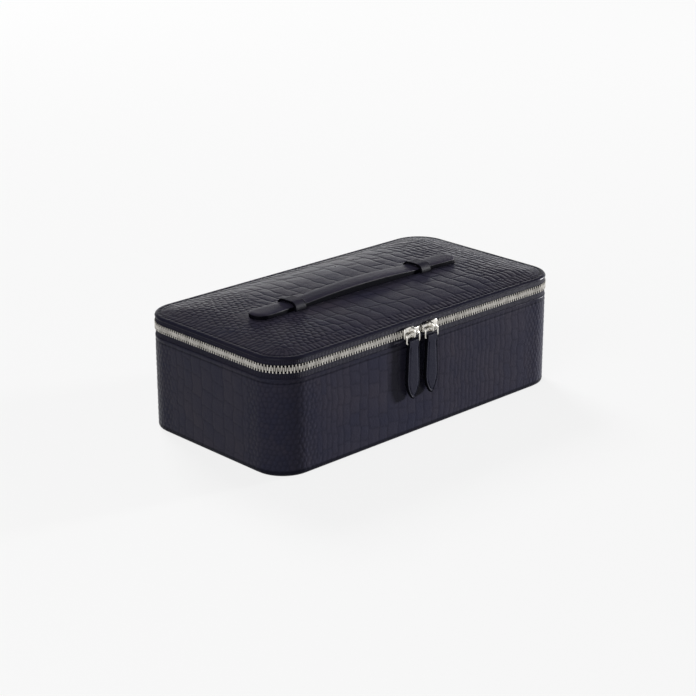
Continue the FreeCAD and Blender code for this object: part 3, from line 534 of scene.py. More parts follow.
def makeLidCover():
    bm = bmesh.new()
    halfX, halfY = case["halfX"] - lidCover["rimInset"], case["halfY"] - lidCover["rimInset"]
    bmesh.ops.create_grid(bm, x_segments=round(2 * halfX / lidCover["grid"]),
                          y_segments=round(2 * halfY / lidCover["grid"]), size=1)
    bmesh.ops.scale(bm, vec=(halfX, halfY, 1), verts=bm.verts)
    roundCorners(bm)
    topCount = len(bm.verts)
    rim = [e for e in bm.edges if e.is_boundary]
    for _ in lidCover["rim"]:
        made = bmesh.ops.extrude_edge_only(bm, edges=rim)["geom"]
        rim = [e for e in made if isinstance(e, bmesh.types.BMEdge) and e.is_boundary]
    bmesh.ops.contextual_create(bm, geom=rim)
    piece = newPiece("lidCover", bm, crocLeather, "lid", recalc=False)
    points = vertMm(piece)
    out, nx, ny = outward(points[:, 0], points[:, 1])
    top = np.arange(len(points)) < topCount
    inset = -out[top]
    relief, crease, tone = lidPlates(points[top, 0], points[top, 1], inset)
    calm = ease(*lidCover["calmY"], np.abs(points[top, 1])) + ease(*lidCover["calmX"], np.abs(points[top, 0]))
    fold = np.exp(-((inset - lidCover["foldInset"]) / lidCover["foldWide"]) ** 2)
    relief = relief * np.clip(calm, lidCover["calmest"], 1)
    points[top, 2] = lidHeight(inset) + relief - lidCover["foldDeep"] * fold
    ringSize = (len(points) - topCount) // len(lidCover["rim"])
    for index, (inward, drop) in enumerate(lidCover["rim"]):
        ring = slice(topCount + index * ringSize, topCount + (index + 1) * ringSize)
        points[ring, 0] -= nx[ring] * (out[ring] + inward)
        points[ring, 1] -= ny[ring] * (out[ring] + inward)
        points[ring, 2] = case["lidTop"] - lidCover["crown"] + drop
    setVertMm(piece, points)
    rest = len(points) - topCount
    crease = np.clip(crease * lidCover["creaseShade"] + fold, 0, 1)
    storeField(piece, "crease", np.concatenate([crease, np.full(rest, lidCover["rimShade"])]))
    # painted light: the first number lifts the lid's top towards the paler, warmer colour, standing in for
    # the warmer light on the top; the second scales the random plate tones
    tone = lidCover["tone"][0] + lidCover["tone"][1] * tone
    storeField(piece, "tone", np.concatenate([tone, np.full(rest, lidCover["rimTone"])]))
    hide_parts("lid_leather", "lid_padding")
    return piece


lidTop = makeLidCover()
print("lid cover", len(lidTop.data.polygons))

# the foot and top ranges below paint shade onto the wall: a painted shadow at the foot and painted shade
# along the top edge
wallCover = {"along": 0.64, "cuts": 5, "up": 0.8, "foldDrop": 2.8, "foldWide": 0.45, "foldDeep": 0.28,
             "hemFoot": (0.5, 2.5), "hemTop": (1.6, 0.4), "footShadow": (2.2, 3.3), "topShade": (1.3, 0.5),
             "shade": 0.4, "seed": 23}
wallPlate = {"wide": 6.0, "vary": 2.6, "tall": 10.5, "wander": 0.5, "deep": 0.12, "soft": 1.4}
wallScale = {"cell": 3.2, "deep": 0.3, "soft": 0.6}


def cornerShare(place):
    # 1 on the rounded corners, 0 on the straight walls
    bends = np.array([runX + quarter / 2, runX + 1.5 * quarter + 2 * runY])
    bends = np.concatenate([bends, outline - bends])
    near = np.min(np.abs(place[:, None] - bends[None, :]), axis=1)
    return 1 - ease(quarter * 0.35, quarter * 1.1, near)


def makeWallCover():
    foot, top = case["foot"], case["wallTop"]
    rows = round((top - foot - 2.3) / wallCover["up"])
    face = [(0.0, foot + 1.6 + (top - foot - 2.2) * i / rows) for i in range(rows + 1)]
    profile = [(-1.0, foot), (-0.6, foot + 0.1), (-0.28, foot + 0.4), (-0.07, foot + 0.9)] + face + \
        [(-0.1, top - 0.25), (-0.35, top - 0.05), (-0.7, top), (-1.1, top - 0.1), (-1.1, foot)]
    bm = sweepCase(bmesh.new(), profile, 0, wallCover["along"] * (wallCover["cuts"] + 1))
    level = [e for e in bm.edges if abs(e.verts[0].co.z - e.verts[1].co.z) < 1e-4 and e.calc_length() > 1]
    bmesh.ops.subdivide_edges(bm, edges=level, cuts=wallCover["cuts"], use_grid_fill=True)
    piece = newPiece("wallCover", bm, crocLeather, "case_base")
    points = vertMm(piece)
    out, nx, ny = outward(points[:, 0], points[:, 1])
    place, z = alongOutline(points[:, 0], points[:, 1]), points[:, 2]
    share = cornerShare(place)
    plates, platesTone = columnPlates(
        place, z, lambda s: wallPlate["wide"] + wallPlate["vary"] * math.sin(s * 0.045),
        lambda s: wallPlate["tall"], wallCover["seed"], wallPlate["wander"], outline)
    scales, scalesTone = pebbles(place, z, wallScale["cell"], wallCover["seed"] + 1, share > 0, outline)
    relief = embossed(plates, wallPlate["deep"], wallPlate["soft"]) * (1 - share)
    relief = relief + embossed(scales, wallScale["deep"], wallScale["soft"]) * share
    fold = np.exp(-((z - (top - wallCover["foldDrop"])) / wallCover["foldWide"]) ** 2)
    footHem = ease(foot + wallCover["hemFoot"][0], foot + wallCover["hemFoot"][1], z)
    hem = footHem * (1 - ease(top - wallCover["hemTop"][0], top - wallCover["hemTop"][1], z))
    shown = out > -0.13
    flat = out * (z > foot + 1.4) * (z < top - 0.5)  # brings the cut points onto the round corners
    move = np.where(shown, relief * hem - wallCover["foldDeep"] * fold - flat, 0)
    points[:, 0] += nx * move
    points[:, 1] += ny * move
    setVertMm(piece, points)
    crease = creaseLine(np.where(share > 0.5, scales, plates)) * wallCover["shade"]
    # painted shadow along the foot, standing in for the contact shadow under the case, and painted shade
    # along the top edge beside the recessed zip tape
    footShadow = 1 - ease(foot + wallCover["footShadow"][0], foot + wallCover["footShadow"][1], z)
    topShade = ease(top - wallCover["topShade"][0], top - wallCover["topShade"][1], z)
    paintedRimShade = footShadow + wallCover["shade"] * topShade
    storeField(piece, "crease", np.clip(crease * hem + fold + paintedRimShade, 0, 1))
    storeField(piece, "tone", np.where(share > 0.5, scalesTone, platesTone))
    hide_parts("base_wall_leather")
    return piece


wall = makeWallCover()
print("wall cover", len(wall.data.polygons))

tape = {"step": 2.4, "thick": 0.8, "bead": 0.14, "tuck": -1.9, "lift": 0.02, "seam": 0.6}


def chartTape(piece):
    points = vertMm(piece)
    index = np.empty(len(piece.data.loops), dtype=np.int32)
    piece.data.loops.foreach_get("vertex_index", index)
    chart = np.stack([alongOutline(points[:, 0], points[:, 1]), points[:, 2]], axis=1)[index]
    piece.data.uv_layers.new(name="tape").data.foreach_set("uv", chart.astype(np.float32).ravel())


def makeTapes():
    for name, sign, edge, body, hides in (("lowerTape", 1, case["wallTop"], "case_base", "lower_zip_tape"),
                                          ("upperTape", -1, case["lidEdge"], "lid", "upper_zip_tape")):
        out, back, bead = case["tapeOut"], case["tapeOut"] - tape["thick"], tape["bead"]
        end = case["zipZ"] - sign * case["chainHalf"]
        foot, seam = edge + sign * tape["lift"], edge + sign * tape["seam"]
        heights = [(tape["tuck"], foot), (out - 0.1, foot), (out, edge + sign * 0.2), (out, end - sign * 0.9),
                   (out + bead, end - sign * 0.65), (out + bead, end - sign * 0.15), (out - 0.1, end),
                   (back + 0.1, end), (back, end - sign * 0.2), (back, seam), (tape["tuck"], seam)]
        bm = sweepCase(bmesh.new(), heights, case["hingeHalf"], tape["step"])
        piece = newPiece(name, bm, zipTape, body)
        chartTape(piece)
        sharpen(piece, 50)
        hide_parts(hides)


teeth = {"pitch": 2.0, "wide": 0.84, "deep": 2.1, "reach": 1.2, "root": 2.5, "headWide": 0.72,
         "headDeep": 0.86, "bevel": 0.14}


def makeTooth(sign):
    # a cast block clamped on the bead, narrowing to a rounded head
    bm = bmesh.new()
    bmesh.ops.create_cube(bm, size=1)
    bmesh.ops.scale(bm, vec=(teeth["deep"], teeth["wide"], teeth["root"] + teeth["reach"]), verts=bm.verts)
    bmesh.ops.translate(bm, vec=(0, 0, (teeth["reach"] - teeth["root"]) / 2), verts=bm.verts)
    heads = [v for v in bm.verts if v.co.z > 0]
    bmesh.ops.scale(bm, vec=(teeth["headDeep"], teeth["headWide"], 1), verts=heads)
    bevelEdges(bm, list(bm.edges), teeth["bevel"], 1)
    if sign < 0:
        bmesh.ops.scale(bm, vec=(1, 1, -1), verts=bm.verts)
        bmesh.ops.reverse_faces(bm, faces=bm.faces)
    return toMesh("tooth", bm)


def makeTeeth():
    radius = case["corner"] + case["chainOut"]
    whole = 2 * (runX - case["hingeHalf"] - teeth["pitch"] / 2) + 2 * runX + 4 * runY + 2 * math.pi * radius
    for name, sign, phase, body, hides in (("lowerTeeth", 1, 0.25, "case_base", "lower_zip_teeth"),
                                           ("upperTeeth", -1, 0.75, "lid", "upper_zip_teeth")):
        one = makeTooth(sign)
        bm = bmesh.new()
        for i in range(int(whole / teeth["pitch"] - phase) + 1):
            x, y, angle = zipStation((i + phase) * teeth["pitch"])
            placed = one.copy()
            placed.transform(Matrix.Translation((x, y, case["zipZ"])) @ Matrix.Rotation(angle, 4, "Z"))
            bm.from_mesh(placed)
            bpy.data.meshes.remove(placed)
        bpy.data.meshes.remove(one)
        piece = newPiece(name, bm, shadedToothMetal, body, smooth=False, recalc=False)
        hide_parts(hides)


makeTapes()
makeTeeth()
print("zip tapes and teeth")

hinge = {"steps": 60, "rows": 14, "swell": 0.22, "thick": 0.95, "liningRows": 10, "bendFoot": 1.2,
         "bendTop": 0.8}


def makeStrip(name, node, profile, material):
    # a strip along the back, its profile in (y, z), where it joins base and lid
    low, high = boxMm(node)
    bm = bmesh.new()
    face = bm.faces.new([bm.verts.new((low[0], y, z)) for y, z in profile])
    made = bmesh.ops.extrude_face_region(bm, geom=[face])["geom"]
    bmesh.ops.translate(bm, vec=(high[0] - low[0], 0, 0), verts=madeVerts(made))
    long = [e for e in bm.edges if abs(e.verts[0].co.x - e.verts[1].co.x) > 1]
    bmesh.ops.subdivide_edges(bm, edges=long, cuts=hinge["steps"], use_grid_fill=True)
    piece = newPiece(name, bm, material, None)
    sharpen(piece, 40)
    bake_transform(piece)
    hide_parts(node)


def makeHinge():
    foot, top = case["wallTop"] + 0.1, case["lidEdge"] - 0.05
    face = boxMm("hinge_leather")[1][1]
    rise = [(face + hinge["swell"] * math.sin(math.pi * i / hinge["rows"]) ** 0.5,
             foot + (top - foot) * i / hinge["rows"]) for i in range(hinge["rows"] + 1)]
    inside = [(face - hinge["thick"], z) for _, z in reversed(rise)]
    makeStrip("hingeLeather", "hinge_leather", rise + inside, smoothLeather)
    low, high = boxMm("hinge_lining")
    rows = hinge["liningRows"]
    steps = [low[2] + 0.05 + (high[2] - low[2] - 0.1) * i / rows for i in range(rows + 1)]
    lined = [(low[1], z) for z in steps] + [(high[1], z) for z in reversed(steps)]
    makeStrip("hingeLining", "hinge_lining", lined, suede)


makeHinge()

tabHigh = boxMm("handle_tab_right")[1]
flexLow, flexHigh = boxMm("handle_flex_right")
strap = {"half": flexHigh[1], "foot": flexLow[2] + lidCover["dome"], "thick": flexHigh[2] - flexLow[2],
         "arch": 2.0, "hollow": 0.2, "bend": (32.0, 49.0), "gripEnd": flexLow[0], "flexEnd": flexHigh[0],
         "flareEnd": 74, "tabHalf": tabHigh[1], "tip": tabHigh[0], "tipHalf": 0.3, "tipSlope": 4,
         "crown": 0.6, "dyeDrop": 0.8, "dye": (0.3, 0.9), "rows": 16, "columns": 120, "bevel": 0.5}


def strapHalfWidth(x):
    # narrow strap that widens into a round-ended tab
    flare = float(ease(strap["flexEnd"] + 1, strap["flareEnd"], x))
    wide = strap["half"] + (strap["tabHalf"] - strap["half"]) * flare
    nose = x - (strap["tip"] - strap["tabHalf"])
    if nose > 0:
        wide = min(wide, math.sqrt(max(strap["tabHalf"] ** 2 - nose ** 2, strap["tipHalf"] ** 2)))
    return wide


def makeStraps():
    for side, end, hides in ((-1, "handle_end_left", ("handle_grip", "handle_flex_left", "handle_tab_left")),
                             (1, "handle_end_right", ("handle_flex_right", "handle_tab_right"))):
        bm = bmesh.new()
        bmesh.ops.create_grid(bm, x_segments=strap["columns"], y_segments=strap["rows"], size=1)
        for vert in bm.verts:
            x = strap["tip"] * (1 - (0.5 - vert.co.x / 2) ** 1.3)  # closer rows at the round end
            vert.co = (x, vert.co.y * strapHalfWidth(x), strap["foot"])
        made = bmesh.ops.extrude_face_region(bm, geom=list(bm.faces))["geom"]
        upper = set(madeVerts(made))
        bmesh.ops.translate(bm, vec=(0, 0, strap["thick"] - strap["crown"]), verts=list(upper))
        rim = [e for e in bm.edges if all(v in upper for v in e.verts) and e.calc_face_angle(0) > 1
               and e.verts[0].co.x + e.verts[1].co.x > 0.01]
        for vert in upper:
            nose = max(0.0, (vert.co.x - strap["tip"] + strap["tipSlope"]) / strap["tipSlope"])
            share = max(abs(vert.co.y) / strapHalfWidth(vert.co.x), nose)
            vert.co.z += strap["crown"] * max(0.0, 1 - share ** 3)
        bevelEdges(bm, rim, strap["bevel"], 2)
        dyeFoot = strap["foot"] + strap["thick"] - strap["crown"] - strap["dyeDrop"]
        dye = [1.0 - float(ease(*strap["dye"], v.co.z - dyeFoot)) for v in bm.verts]
        for vert in bm.verts:  # the grip bows up
            if vert.co.x < strap["gripEnd"]:
                share = min(1.0, (vert.co.z - strap["foot"]) / (strap["thick"] - strap["crown"]))
                lift = strap["hollow"] + (strap["arch"] - strap["hollow"]) * share
                vert.co.z += lift * (1 - (vert.co.x / strap["gripEnd"]) ** 2)
            vert.co.x *= side
        piece = newPiece("strapLeft" if side < 0 else "strapRight", bm, smoothLeather, None)
        sharpen(piece, 42)
        storeField(piece, "edge", dye)
        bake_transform(piece)
        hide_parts(*hides)


makeStraps()

keeper = {"thick": 1.4, "round": 4.6, "sink": 0.3, "bevel": 0.5, "rows": 8, "legSteps": 3, "bendSteps": 8,
          "topSteps": 10, "lip": 0.6, "sideShade": 0.9, "fade": 0.55}


def makeKeepers():
    for name, node in (("keeperLeft", "handle_keeper_left"), ("keeperRight", "handle_keeper_right")):
        low, high = boxMm(node)
        outer, top, foot = high[1], high[2] + lidCover["dome"], low[2] + lidCover["dome"] - keeper["sink"]
        bend, legs, bends, tops = (keeper[key] for key in ("round", "legSteps", "bendSteps", "topSteps"))
        rise, span = top - bend - foot, 2 * (outer - bend)
        bm = bmesh.new()
        last = [bm.verts.new((low[0], -outer, foot))]
        for cent, move, turn, steps in (((0, 0, 0), (0, 0, rise / legs), 0, legs),
                                        ((0, -outer + bend, top - bend), (0, 0, 0), -math.pi / 2, bends),
                                        ((0, 0, 0), (0, span / tops, 0), 0, tops),
                                        ((0, outer - bend, top - bend), (0, 0, 0), -math.pi / 2, bends),
                                        ((0, 0, 0), (0, 0, -rise / legs), 0, legs)):
            last = bmesh.ops.spin(bm, geom=last, cent=cent, axis=(1, 0, 0), dvec=move, angle=turn,
                                  steps=steps)["geom_last"]
        bmesh.ops.spin(bm, geom=list(bm.edges), cent=(0, 0, 0), axis=(1, 0, 0), angle=0, steps=keeper["rows"],
                       dvec=((high[0] - low[0]) / keeper["rows"], 0, 0))
        bmesh.ops.recalc_face_normals(bm, faces=bm.faces)
        if max(bm.faces, key=lambda f: f.calc_center_median().z).normal.z < 0:
            bmesh.ops.reverse_faces(bm, faces=bm.faces)
        bmesh.ops.solidify(bm, geom=list(bm.faces), thickness=keeper["thick"])
        lips = [e for e in bm.edges if e.calc_face_angle(0) > 1.2]
        bevelEdges(bm, lips, keeper["bevel"], 2)
        dye = []
        for vert in bm.verts:  # dark lips, and painted shade that darkens down its sides
            atLip = min(vert.co.x - low[0], high[0] - vert.co.x) < keeper["lip"]
            # painted shade: the sides darken towards the bottom, the top stays lighter
            side = keeper["sideShade"] - keeper["fade"] * float(ease(top - bend, top - 1.0, vert.co.z))
            dye.append(1.0 if atLip else side)
        piece = newPiece(name, bm, smoothLeather, "lid")
        sharpen(piece, 40)
        storeField(piece, "edge", dye)
        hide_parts(node)


makeKeepers()
print("hinge, strap and keepers")

slider = {"back": 1.15, "gap": 0.1, "blade": 1.05, "bevel": 0.45, "wire": 0.62, "bailHalf": 2.65,
          "bailBend": 1.7, "lip": (1.1, 0.9, 0.75), "lipAhead": 1.2, "lipIn": 0.25, "lipDrop": 0.85}
wireSegments, wireBendSteps = 12, 8


def sweepWire(bm, wire, start, facing, stages):
    # a round wire carried through bends (centre, axis, angle) and straight moves
    ringVerts = bmesh.ops.create_circle(bm, radius=wire, segments=wireSegments)["verts"]
    turn = Vector((0, 0, 1)).rotation_difference(Vector(facing)).to_matrix().to_4x4()
    bmesh.ops.transform(bm, matrix=Matrix.Translation(start) @ turn, verts=ringVerts)
    geom = ringVerts + list({e for v in ringVerts for e in v.link_edges})
    for stage in stages:
        if isinstance(stage[0], tuple):
            centre, axis, angle = stage
            geom = bmesh.ops.spin(bm, geom=geom, cent=centre, axis=axis, angle=angle,
                                  steps=wireBendSteps)["geom_last"]
        else:
            geom = bmesh.ops.spin(bm, geom=geom, cent=(0, 0, 0), axis=(0, 0, 1), dvec=stage, angle=0,
                                  steps=1)["geom_last"]


def makeSlider(name, node, body, towards):
    low, high = boxMm(node)
    midX, zipZ = (low[0] + high[0]) / 2, case["zipZ"]
    half, tall = (high[0] - low[0]) / 2, (high[2] - low[2]) / 2
    back = -case["halfY"] - case["chainOut"] - slider["back"] - slider["gap"]
    front = back - slider["blade"]
    # upper half of the blade's outline, narrow where the closed teeth leave
    shape = [(-half, 1.9), (-half + 0.5, 2.5), (-1.9, 2.75), (1.6, tall),
             (half - 1.5, tall), (half - 0.5, tall - 0.5), (half, tall - 1.5)]
    shape = shape + [(u, -w) for u, w in reversed(shape)]
    bm = bmesh.new()
    plate = bm.faces.new([bm.verts.new((midX + towards * u, back, zipZ + w)) for u, w in shape])
    made = bmesh.ops.extrude_face_region(bm, geom=[plate])["geom"]
    shown = madeVerts(made)
    bmesh.ops.translate(bm, vec=(0, front - back, 0), verts=shown)
    rim = [e for e in bm.edges if all(v in shown for v in e.verts)]
    bevelEdges(bm, rim, slider["bevel"], 3)
    lipLong, lipDeep, lipTall = slider["lip"]
    lipX, lipY = midX + towards * slider["lipAhead"], back + slider["lipIn"]
    for side in (-1, 1):  # lips that guide the tapes
        lip = bmesh.ops.create_cube(bm, size=1)["verts"]
        bmesh.ops.scale(bm, vec=(half * lipLong, lipDeep, lipTall), verts=lip)
        bmesh.ops.translate(bm, vec=(lipX, lipY, zipZ + side * (tall - slider["lipDrop"])), verts=lip)
    bend, reach = slider["bailBend"], slider["bailHalf"]
    root, tip = front + 0.4, low[1] + slider["wire"]
    run = root - tip - bend
    sweepWire(bm, slider["wire"], (midX, root, zipZ + reach), (0, -1, 0), [
        (0, -run, 0), ((midX, root - run, zipZ + reach - bend), (1, 0, 0), math.pi / 2),
        (0, 0, -2 * (reach - bend)), ((midX, root - run, zipZ - reach + bend), (1, 0, 0), math.pi / 2),
        (0, run, 0)])
    piece = newPiece(name, bm, zipMetal, body)
    sharpen(piece, 32)
    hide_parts(node)


makeSlider("sliderLeft", "slider_left", "zip_slider_left", -1)
makeSlider("sliderRight", "slider_right", "zip_slider_right", 1)

ring = {"wire": 0.6, "crown": 2.2, "bend": 0.95}


def makeRing(name, node, body):
    low, high = boxMm(node)
    midX, y = (low[0] + high[0]) / 2, (low[1] + high[1]) / 2
    half, top, foot = (high[0] - low[0]) / 2 - ring["wire"], high[2] - ring["wire"], low[2] + ring["wire"]
    crown, bend = ring["crown"], ring["bend"]
    leg = top - crown - foot - bend
    bm = bmesh.new()
    sweepWire(bm, ring["wire"], (midX, y, top), (1, 0, 0), [
        (half - crown, 0, 0), ((midX + half - crown, y, top - crown), (0, 1, 0), math.pi / 2), (0, 0, -leg),
        ((midX + half - bend, y, foot + bend), (0, 1, 0), math.pi / 2), (-2 * (half - bend), 0, 0),
        ((midX - half + bend, y, foot + bend), (0, 1, 0), math.pi / 2), (0, 0, leg),
        ((midX - half + crown, y, top - crown), (0, 1, 0), math.pi / 2), (half - crown, 0, 0)])
    bmesh.ops.remove_doubles(bm, verts=bm.verts, dist=0.01)
    piece = newPiece(name, bm, zipMetal, body)
    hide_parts(node)


makeRing("ringLeft", "pull_ring_left", "pull_left")
makeRing("ringRight", "pull_ring_right", "pull_right")

pull = {"dye": 0.5, "dyeWide": (0.25, 0.8), "foldHalf": 4.2, "end": 13.5, "endPower": (2.1, 0.78),
        "tipHalf": 0.3, "line": 1.3, "lineWide": 0.32, "lineDeep": 0.22, "lineTop": (3.0, 5.0),
        "thin": 0.12, "thinFrom": (2.5, 9), "bevel": 0.42, "rows": 84, "columns": 20}


def pullHalfWidth(drop, length, wide):
    # flares gently from its fold and closes in a rounded point
    flare = pull["foldHalf"] + (wide - pull["foldHalf"]) * min(1.0, drop / (length - pull["end"]))
    left = max(0.0, (length - drop) / pull["end"])
    if left >= 1:
        return flare
    inner, outer = pull["endPower"]
    return max(pull["tipHalf"], flare * (1 - (1 - left) ** inner) ** outer)


def makePull(name, node, body):
    low, high = boxMm(node)
    midX, midY, length = (low[0] + high[0]) / 2, (low[1] + high[1]) / 2, high[2] - low[2]
    wide, thick = (high[0] - low[0]) / 2, (high[1] - low[1]) / 2
    bm = bmesh.new()
    bmesh.ops.create_grid(bm, x_segments=pull["columns"], y_segments=pull["rows"], size=1)
    for vert in bm.verts:
        drop = length * (1 - (0.5 + vert.co.y / 2) ** 1.25)
        vert.co = (midX + vert.co.x * pullHalfWidth(drop, length, wide), midY + thick, high[2] - drop)
    made = bmesh.ops.extrude_face_region(bm, geom=list(bm.faces))["geom"]
    bmesh.ops.translate(bm, vec=(0, -2 * thick, 0), verts=madeVerts(made))
    rim = [e for e in bm.edges if e.calc_face_angle(0) > 1]
    bevelEdges(bm, rim, pull["bevel"], 2)
    dye = []
    for vert in bm.verts:  # pressed border line, and a fold that swells round the ring
        drop = high[2] - vert.co.z
        inset = min(pullHalfWidth(drop, length, wide) - abs(vert.co.x - midX), (length - drop) * 0.6)
        line = math.exp(-((inset - pull["line"]) / pull["lineWide"]) ** 2)
        line = line * float(ease(*pull["lineTop"], drop))
        swell = 1 - pull["thin"] * float(ease(*pull["thinFrom"], drop))
        vert.co.y = midY + (vert.co.y - midY) * swell * (1 - pull["lineDeep"] * line)
        dye.append(1 - (1 - pull["dye"]) * float(ease(*pull["dyeWide"], inset)))
    piece = newPiece(name, bm, pullLeather, body)
    sharpen(piece, 45)
    storeField(piece, "edge", dye)
    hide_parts(node)


makePull("pullLeft", "pull_tab_left", "pull_left")
makePull("pullRight", "pull_tab_right", "pull_right")
print("sliders, rings and pulls")

lining = {"step": 3.0, "inner": -5.0, "thick": 0.9, "turnover": 0.38, "grid": (110, 56)}


def makeWallLining():
    low, high = boxMm("base_wall_lining")
    outer, inner, top = high[0] - case["halfX"], lining["inner"], high[2]
    rear, under = inner + lining["thick"], top - lining["turnover"]
    profile = [(inner, low[2]), (inner, top - 0.7), (inner + 0.1, top - 0.25), (inner + 0.4, top),
               (outer - 0.25, top), (outer, top - 0.2), (outer, under), (rear, under), (rear, low[2])]
    bm = sweepCase(bmesh.new(), profile, 0, lining["step"])
    piece = newPiece("wallLining", bm, suede, "case_base")
    sharpen(piece, 40)
    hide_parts("base_wall_lining")


def makePanel(name, node, body, shownSide, puff, border):
    # padded lining panel with the case's rounded plan, thinner at its sewn edge
    low, high = boxMm(node)
    bm = bmesh.new()
    bmesh.ops.create_grid(bm, x_segments=lining["grid"][0], y_segments=lining["grid"][1], size=1)
    bmesh.ops.scale(bm, vec=(high[0], high[1], 1), verts=bm.verts)
    roundCorners(bm)
    face, back = (high[2], low[2]) if shownSide > 0 else (low[2], high[2])
    made = bmesh.ops.extrude_face_region(bm, geom=list(bm.faces))["geom"]
    shown = set(madeVerts(made))
    for vert in bm.verts:
        edge = -float(outward(vert.co.x, vert.co.y)[0]) - (case["halfX"] - high[0])
        vert.co.z = face - shownSide * puff * (1 - float(ease(0, border, edge))) if vert in shown else back
    piece = newPiece(name, bm, suede, body)
    sharpen(piece, 60)
    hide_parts(node)


makeWallLining()
makePanel("floorPad", "base_floor_lining", "case_base", 1, 0.5, 6.0)
makePanel("lidPad", "lid_lining", "lid", -1, 0.6, 9.0)

bed = {"rimFront": 6.0, "rimEnd": 3.0, "rimLeft": 12.6, "deep": 10.0, "soft": 0.9, "gap": 0.2}


def topEdges(bm, high):
    return [e for e in bm.edges if all(v.co.z > high[2] - 0.01 for v in e.verts)]


def makeRingBed():
    bm, low, high = nodeBlock("ring_bed")
    upright = [e for e in bm.edges
               if abs(e.verts[0].co.z - e.verts[1].co.z) > 1 and e.verts[0].co.x < low[0] + 1]
    bevelEdges(bm, upright, case["corner"] + lining["inner"] - bed["gap"], 10)
    top = max(bm.faces, key=lambda f: f.calc_center_median().z)
    bmesh.ops.inset_region(bm, faces=[top], thickness=bed["rimEnd"])
    for vert in top.verts:
        vert.co.x = min(max(vert.co.x, low[0] + bed["rimLeft"]), high[0] - bed["rimEnd"])
        vert.co.y = min(max(vert.co.y, low[1] + bed["rimFront"]), high[1] - bed["rimFront"])
    well = bmesh.ops.extrude_discrete_faces(bm, faces=[top])["faces"][0]
    bmesh.ops.translate(bm, vec=(0, 0, -bed["deep"]), verts=list(well.verts))
    bmesh.ops.remove_doubles(bm, verts=bm.verts, dist=0.01)
    crest = [e for e in topEdges(bm, high) if e.calc_face_angle(0) > 1]
    bevelEdges(bm, crest, bed["soft"], 3)
    piece = newPiece("ringBed", bm, suede, "case_base")
    sharpen(piece, 35)
    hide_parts("ring_bed")


roll = {"segments": 36, "rings": 48, "gather": 3.2, "wrinkle": 0.16, "folds": 9, "ripple": 0.05, "end": 0.3,
        "seed": 40}


def makeRolls():
    for index in range(1, 5):
        node = f"ring_roll_{index}"
        low, high = boxMm(node)
        midX, midZ = (low[0] + high[0]) / 2, (low[2] + high[2]) / 2
        radius, half = (high[0] - low[0]) / 2, high[1]
        bm = bmesh.new()
        verts = [bm.verts.new((midX, half * math.sin(t), midZ + radius))
                 for t in np.linspace(-math.pi / 2, math.pi / 2, roll["rings"])]
        edges = [bm.edges.new(pair) for pair in zip(verts, verts[1:])]
        bmesh.ops.spin(bm, geom=verts + edges, cent=(midX, 0, midZ), axis=(0, 1, 0), angle=2 * math.pi,
                       steps=roll["segments"], use_merge=True)
        dice = random.Random(roll["seed"] + index)
        lean = [dice.uniform(0, 6.28) for _ in range(3)]
        for vert in bm.verts:
            share = abs(vert.co.y) / half
            past = max(0.0, (share * half - half + roll["gather"]) / roll["gather"])
            close = roll["end"] + (1 - roll["end"]) * math.sqrt(max(0.0, 1 - past ** 2))
            angle = math.atan2(vert.co.z - midZ, vert.co.x - midX)
            gathered = float(ease(0.75, 1.0, share))
            dent = roll["wrinkle"] * (1 + math.sin(angle * roll["folds"] + lean[0])) * gathered
            sway = lean[1] + 2 * math.sin(angle * 2 + lean[2])
            dent += roll["ripple"] * (1 + math.sin(vert.co.y * 0.4 + sway))
            vert.co.x = midX + (radius - dent) * close * math.cos(angle)
            vert.co.z = midZ + (radius - dent) * close * math.sin(angle)
        bmesh.ops.holes_fill(bm, edges=[e for e in bm.edges if e.is_boundary])
        piece = newPiece(f"ringRoll{index}", bm, suede, "case_base")
        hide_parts(node)


divider = {"soft": 0.9, "rounds": 4}


def makeDivider(name, node):
    bm, _, high = nodeBlock(node)
    bevelEdges(bm, topEdges(bm, high), divider["soft"], divider["rounds"])
    piece = newPiece(name, bm, suede, "case_base")
    sharpen(piece, 40)
    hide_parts(node)


makeRingBed()
makeRolls()
for name in ("Cross", "Long", "Rear"):
    makeDivider(f"divider{name}", f"divider_{name.lower()}")
print("linings, ring bed and dividers")

for name, material in (("base_bottom_leather", smoothLeather), ("base_bottom_board", greyBoard),
                       ("base_wall_board", greyBoard), ("lid_board", greyBoard)):
    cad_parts[name].data.materials.clear()
    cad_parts[name].data.materials.append(material)

studio = {"floor": 5.0, "wall": 0.8, "paper": 0.12, "glow": 0.825, "air": 0.06, "aim": (0, 0, 0.04),
          "lights": [("sheenCard", (1.05, 0.92, 0.24), (1.6, 0.4), 3.0),
                     ("topLight", (0.8, 2.2, 1.9), (1.0, 1.0), 64.0),
                     ("sideLight", (2.5, -0.85, 0.25), (0.3, 0.3), 140.0),
                     ("fillLight", (-1.35, -0.5, 0.65), (1.2, 1.2), 15.0)]}


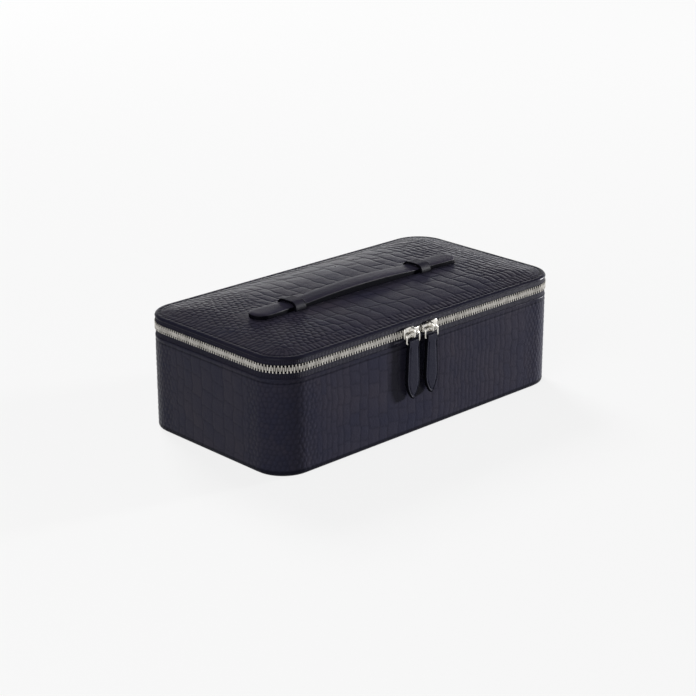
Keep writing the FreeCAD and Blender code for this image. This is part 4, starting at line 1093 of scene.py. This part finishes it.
def makePaper():
    # glows for the camera and in reflections, but lights nothing
    material, tree, shader = newMaterial("paleFloor")
    grey = studio["paper"]
    setInputs(shader, {"Base Color": (grey, grey, grey, 1), "Roughness": 0.95, "Specular IOR Level": 0.0,
                       "Emission Color": (1, 1, 1, 1)})
    rays = shaderNode(tree, "ShaderNodeLightPath")
    seen = rays.outputs["Is Camera Ray"]
    for kind in ("Is Glossy Ray", "Is Transmission Ray"):
        either = shaderNode(tree, "ShaderNodeMath", operation="MAXIMUM")
        tree.links.new(seen, either.inputs[0])
        tree.links.new(rays.outputs[kind], either.inputs[1])
        seen = either.outputs[0]
    glow = shaderNode(tree, "ShaderNodeMath", operation="MULTIPLY")
    tree.links.new(seen, glow.inputs[0])
    glow.inputs[1].default_value = studio["glow"]
    tree.links.new(glow.outputs[0], shader.inputs["Emission Strength"])
    return material


def makeStudio():
    bm = bmesh.new()
    bmesh.ops.create_circle(bm, cap_ends=True, radius=studio["floor"], segments=96)
    made = bmesh.ops.extrude_edge_only(bm, edges=list(bm.edges))["geom"]  # a low round backdrop
    bmesh.ops.translate(bm, vec=(0, 0, studio["wall"]), verts=madeVerts(made))
    floor = linkMesh(toMesh("paperFloor", bm), makePaper())
    world = bpy.data.worlds.new("studioAir")
    world.use_nodes = True
    setInputs(world.node_tree.nodes["Background"], {"Color": (1, 1, 1, 1), "Strength": studio["air"]})
    scene.world = world
    for name, place, size, power in studio["lights"]:
        lamp = bpy.data.lights.new(name, "AREA")
        lamp.shape, lamp.energy = "RECTANGLE", power
        lamp.size, lamp.size_y = size
        light = bpy.data.objects.new(name, lamp)
        light.visible_camera = False
        light.visible_diffuse = name != "sheenCard"  # the card shows only as a sheen
        light.visible_glossy = name != "topLight"
        light.location = place
        light.rotation_euler = (Vector(studio["aim"]) - Vector(place)).to_track_quat("-Z", "Y").to_euler()
        scene.collection.objects.link(light)


view = {"azimuth": -43.946, "elevation": 20.123, "distance": 1.1665, "aim": (0, 0, 0.035), "lens": 95.638,
        "sensor": 36.0, "shift": (-0.01175, 0.00114), "clip": (0.02, 50.0)}


def makeCamera():
    turn, tilt = math.radians(view["azimuth"]), math.radians(view["elevation"])
    back = Vector((math.sin(turn) * math.cos(tilt), -math.cos(turn) * math.cos(tilt), math.sin(tilt)))
    data = bpy.data.cameras.new("photoCamera")
    data.lens, data.sensor_width = view["lens"], view["sensor"]
    data.shift_x, data.shift_y = view["shift"]
    data.clip_start, data.clip_end = view["clip"]
    camera = bpy.data.objects.new("photoCamera", data)
    camera.location = Vector(view["aim"]) + back * view["distance"]
    camera.rotation_euler = back.to_track_quat("Z", "Y").to_euler()
    scene.collection.objects.link(camera)
    scene.camera = camera


makeStudio()
makeCamera()
scene.view_settings.view_transform = "Standard"
bpy.context.view_layer.update()
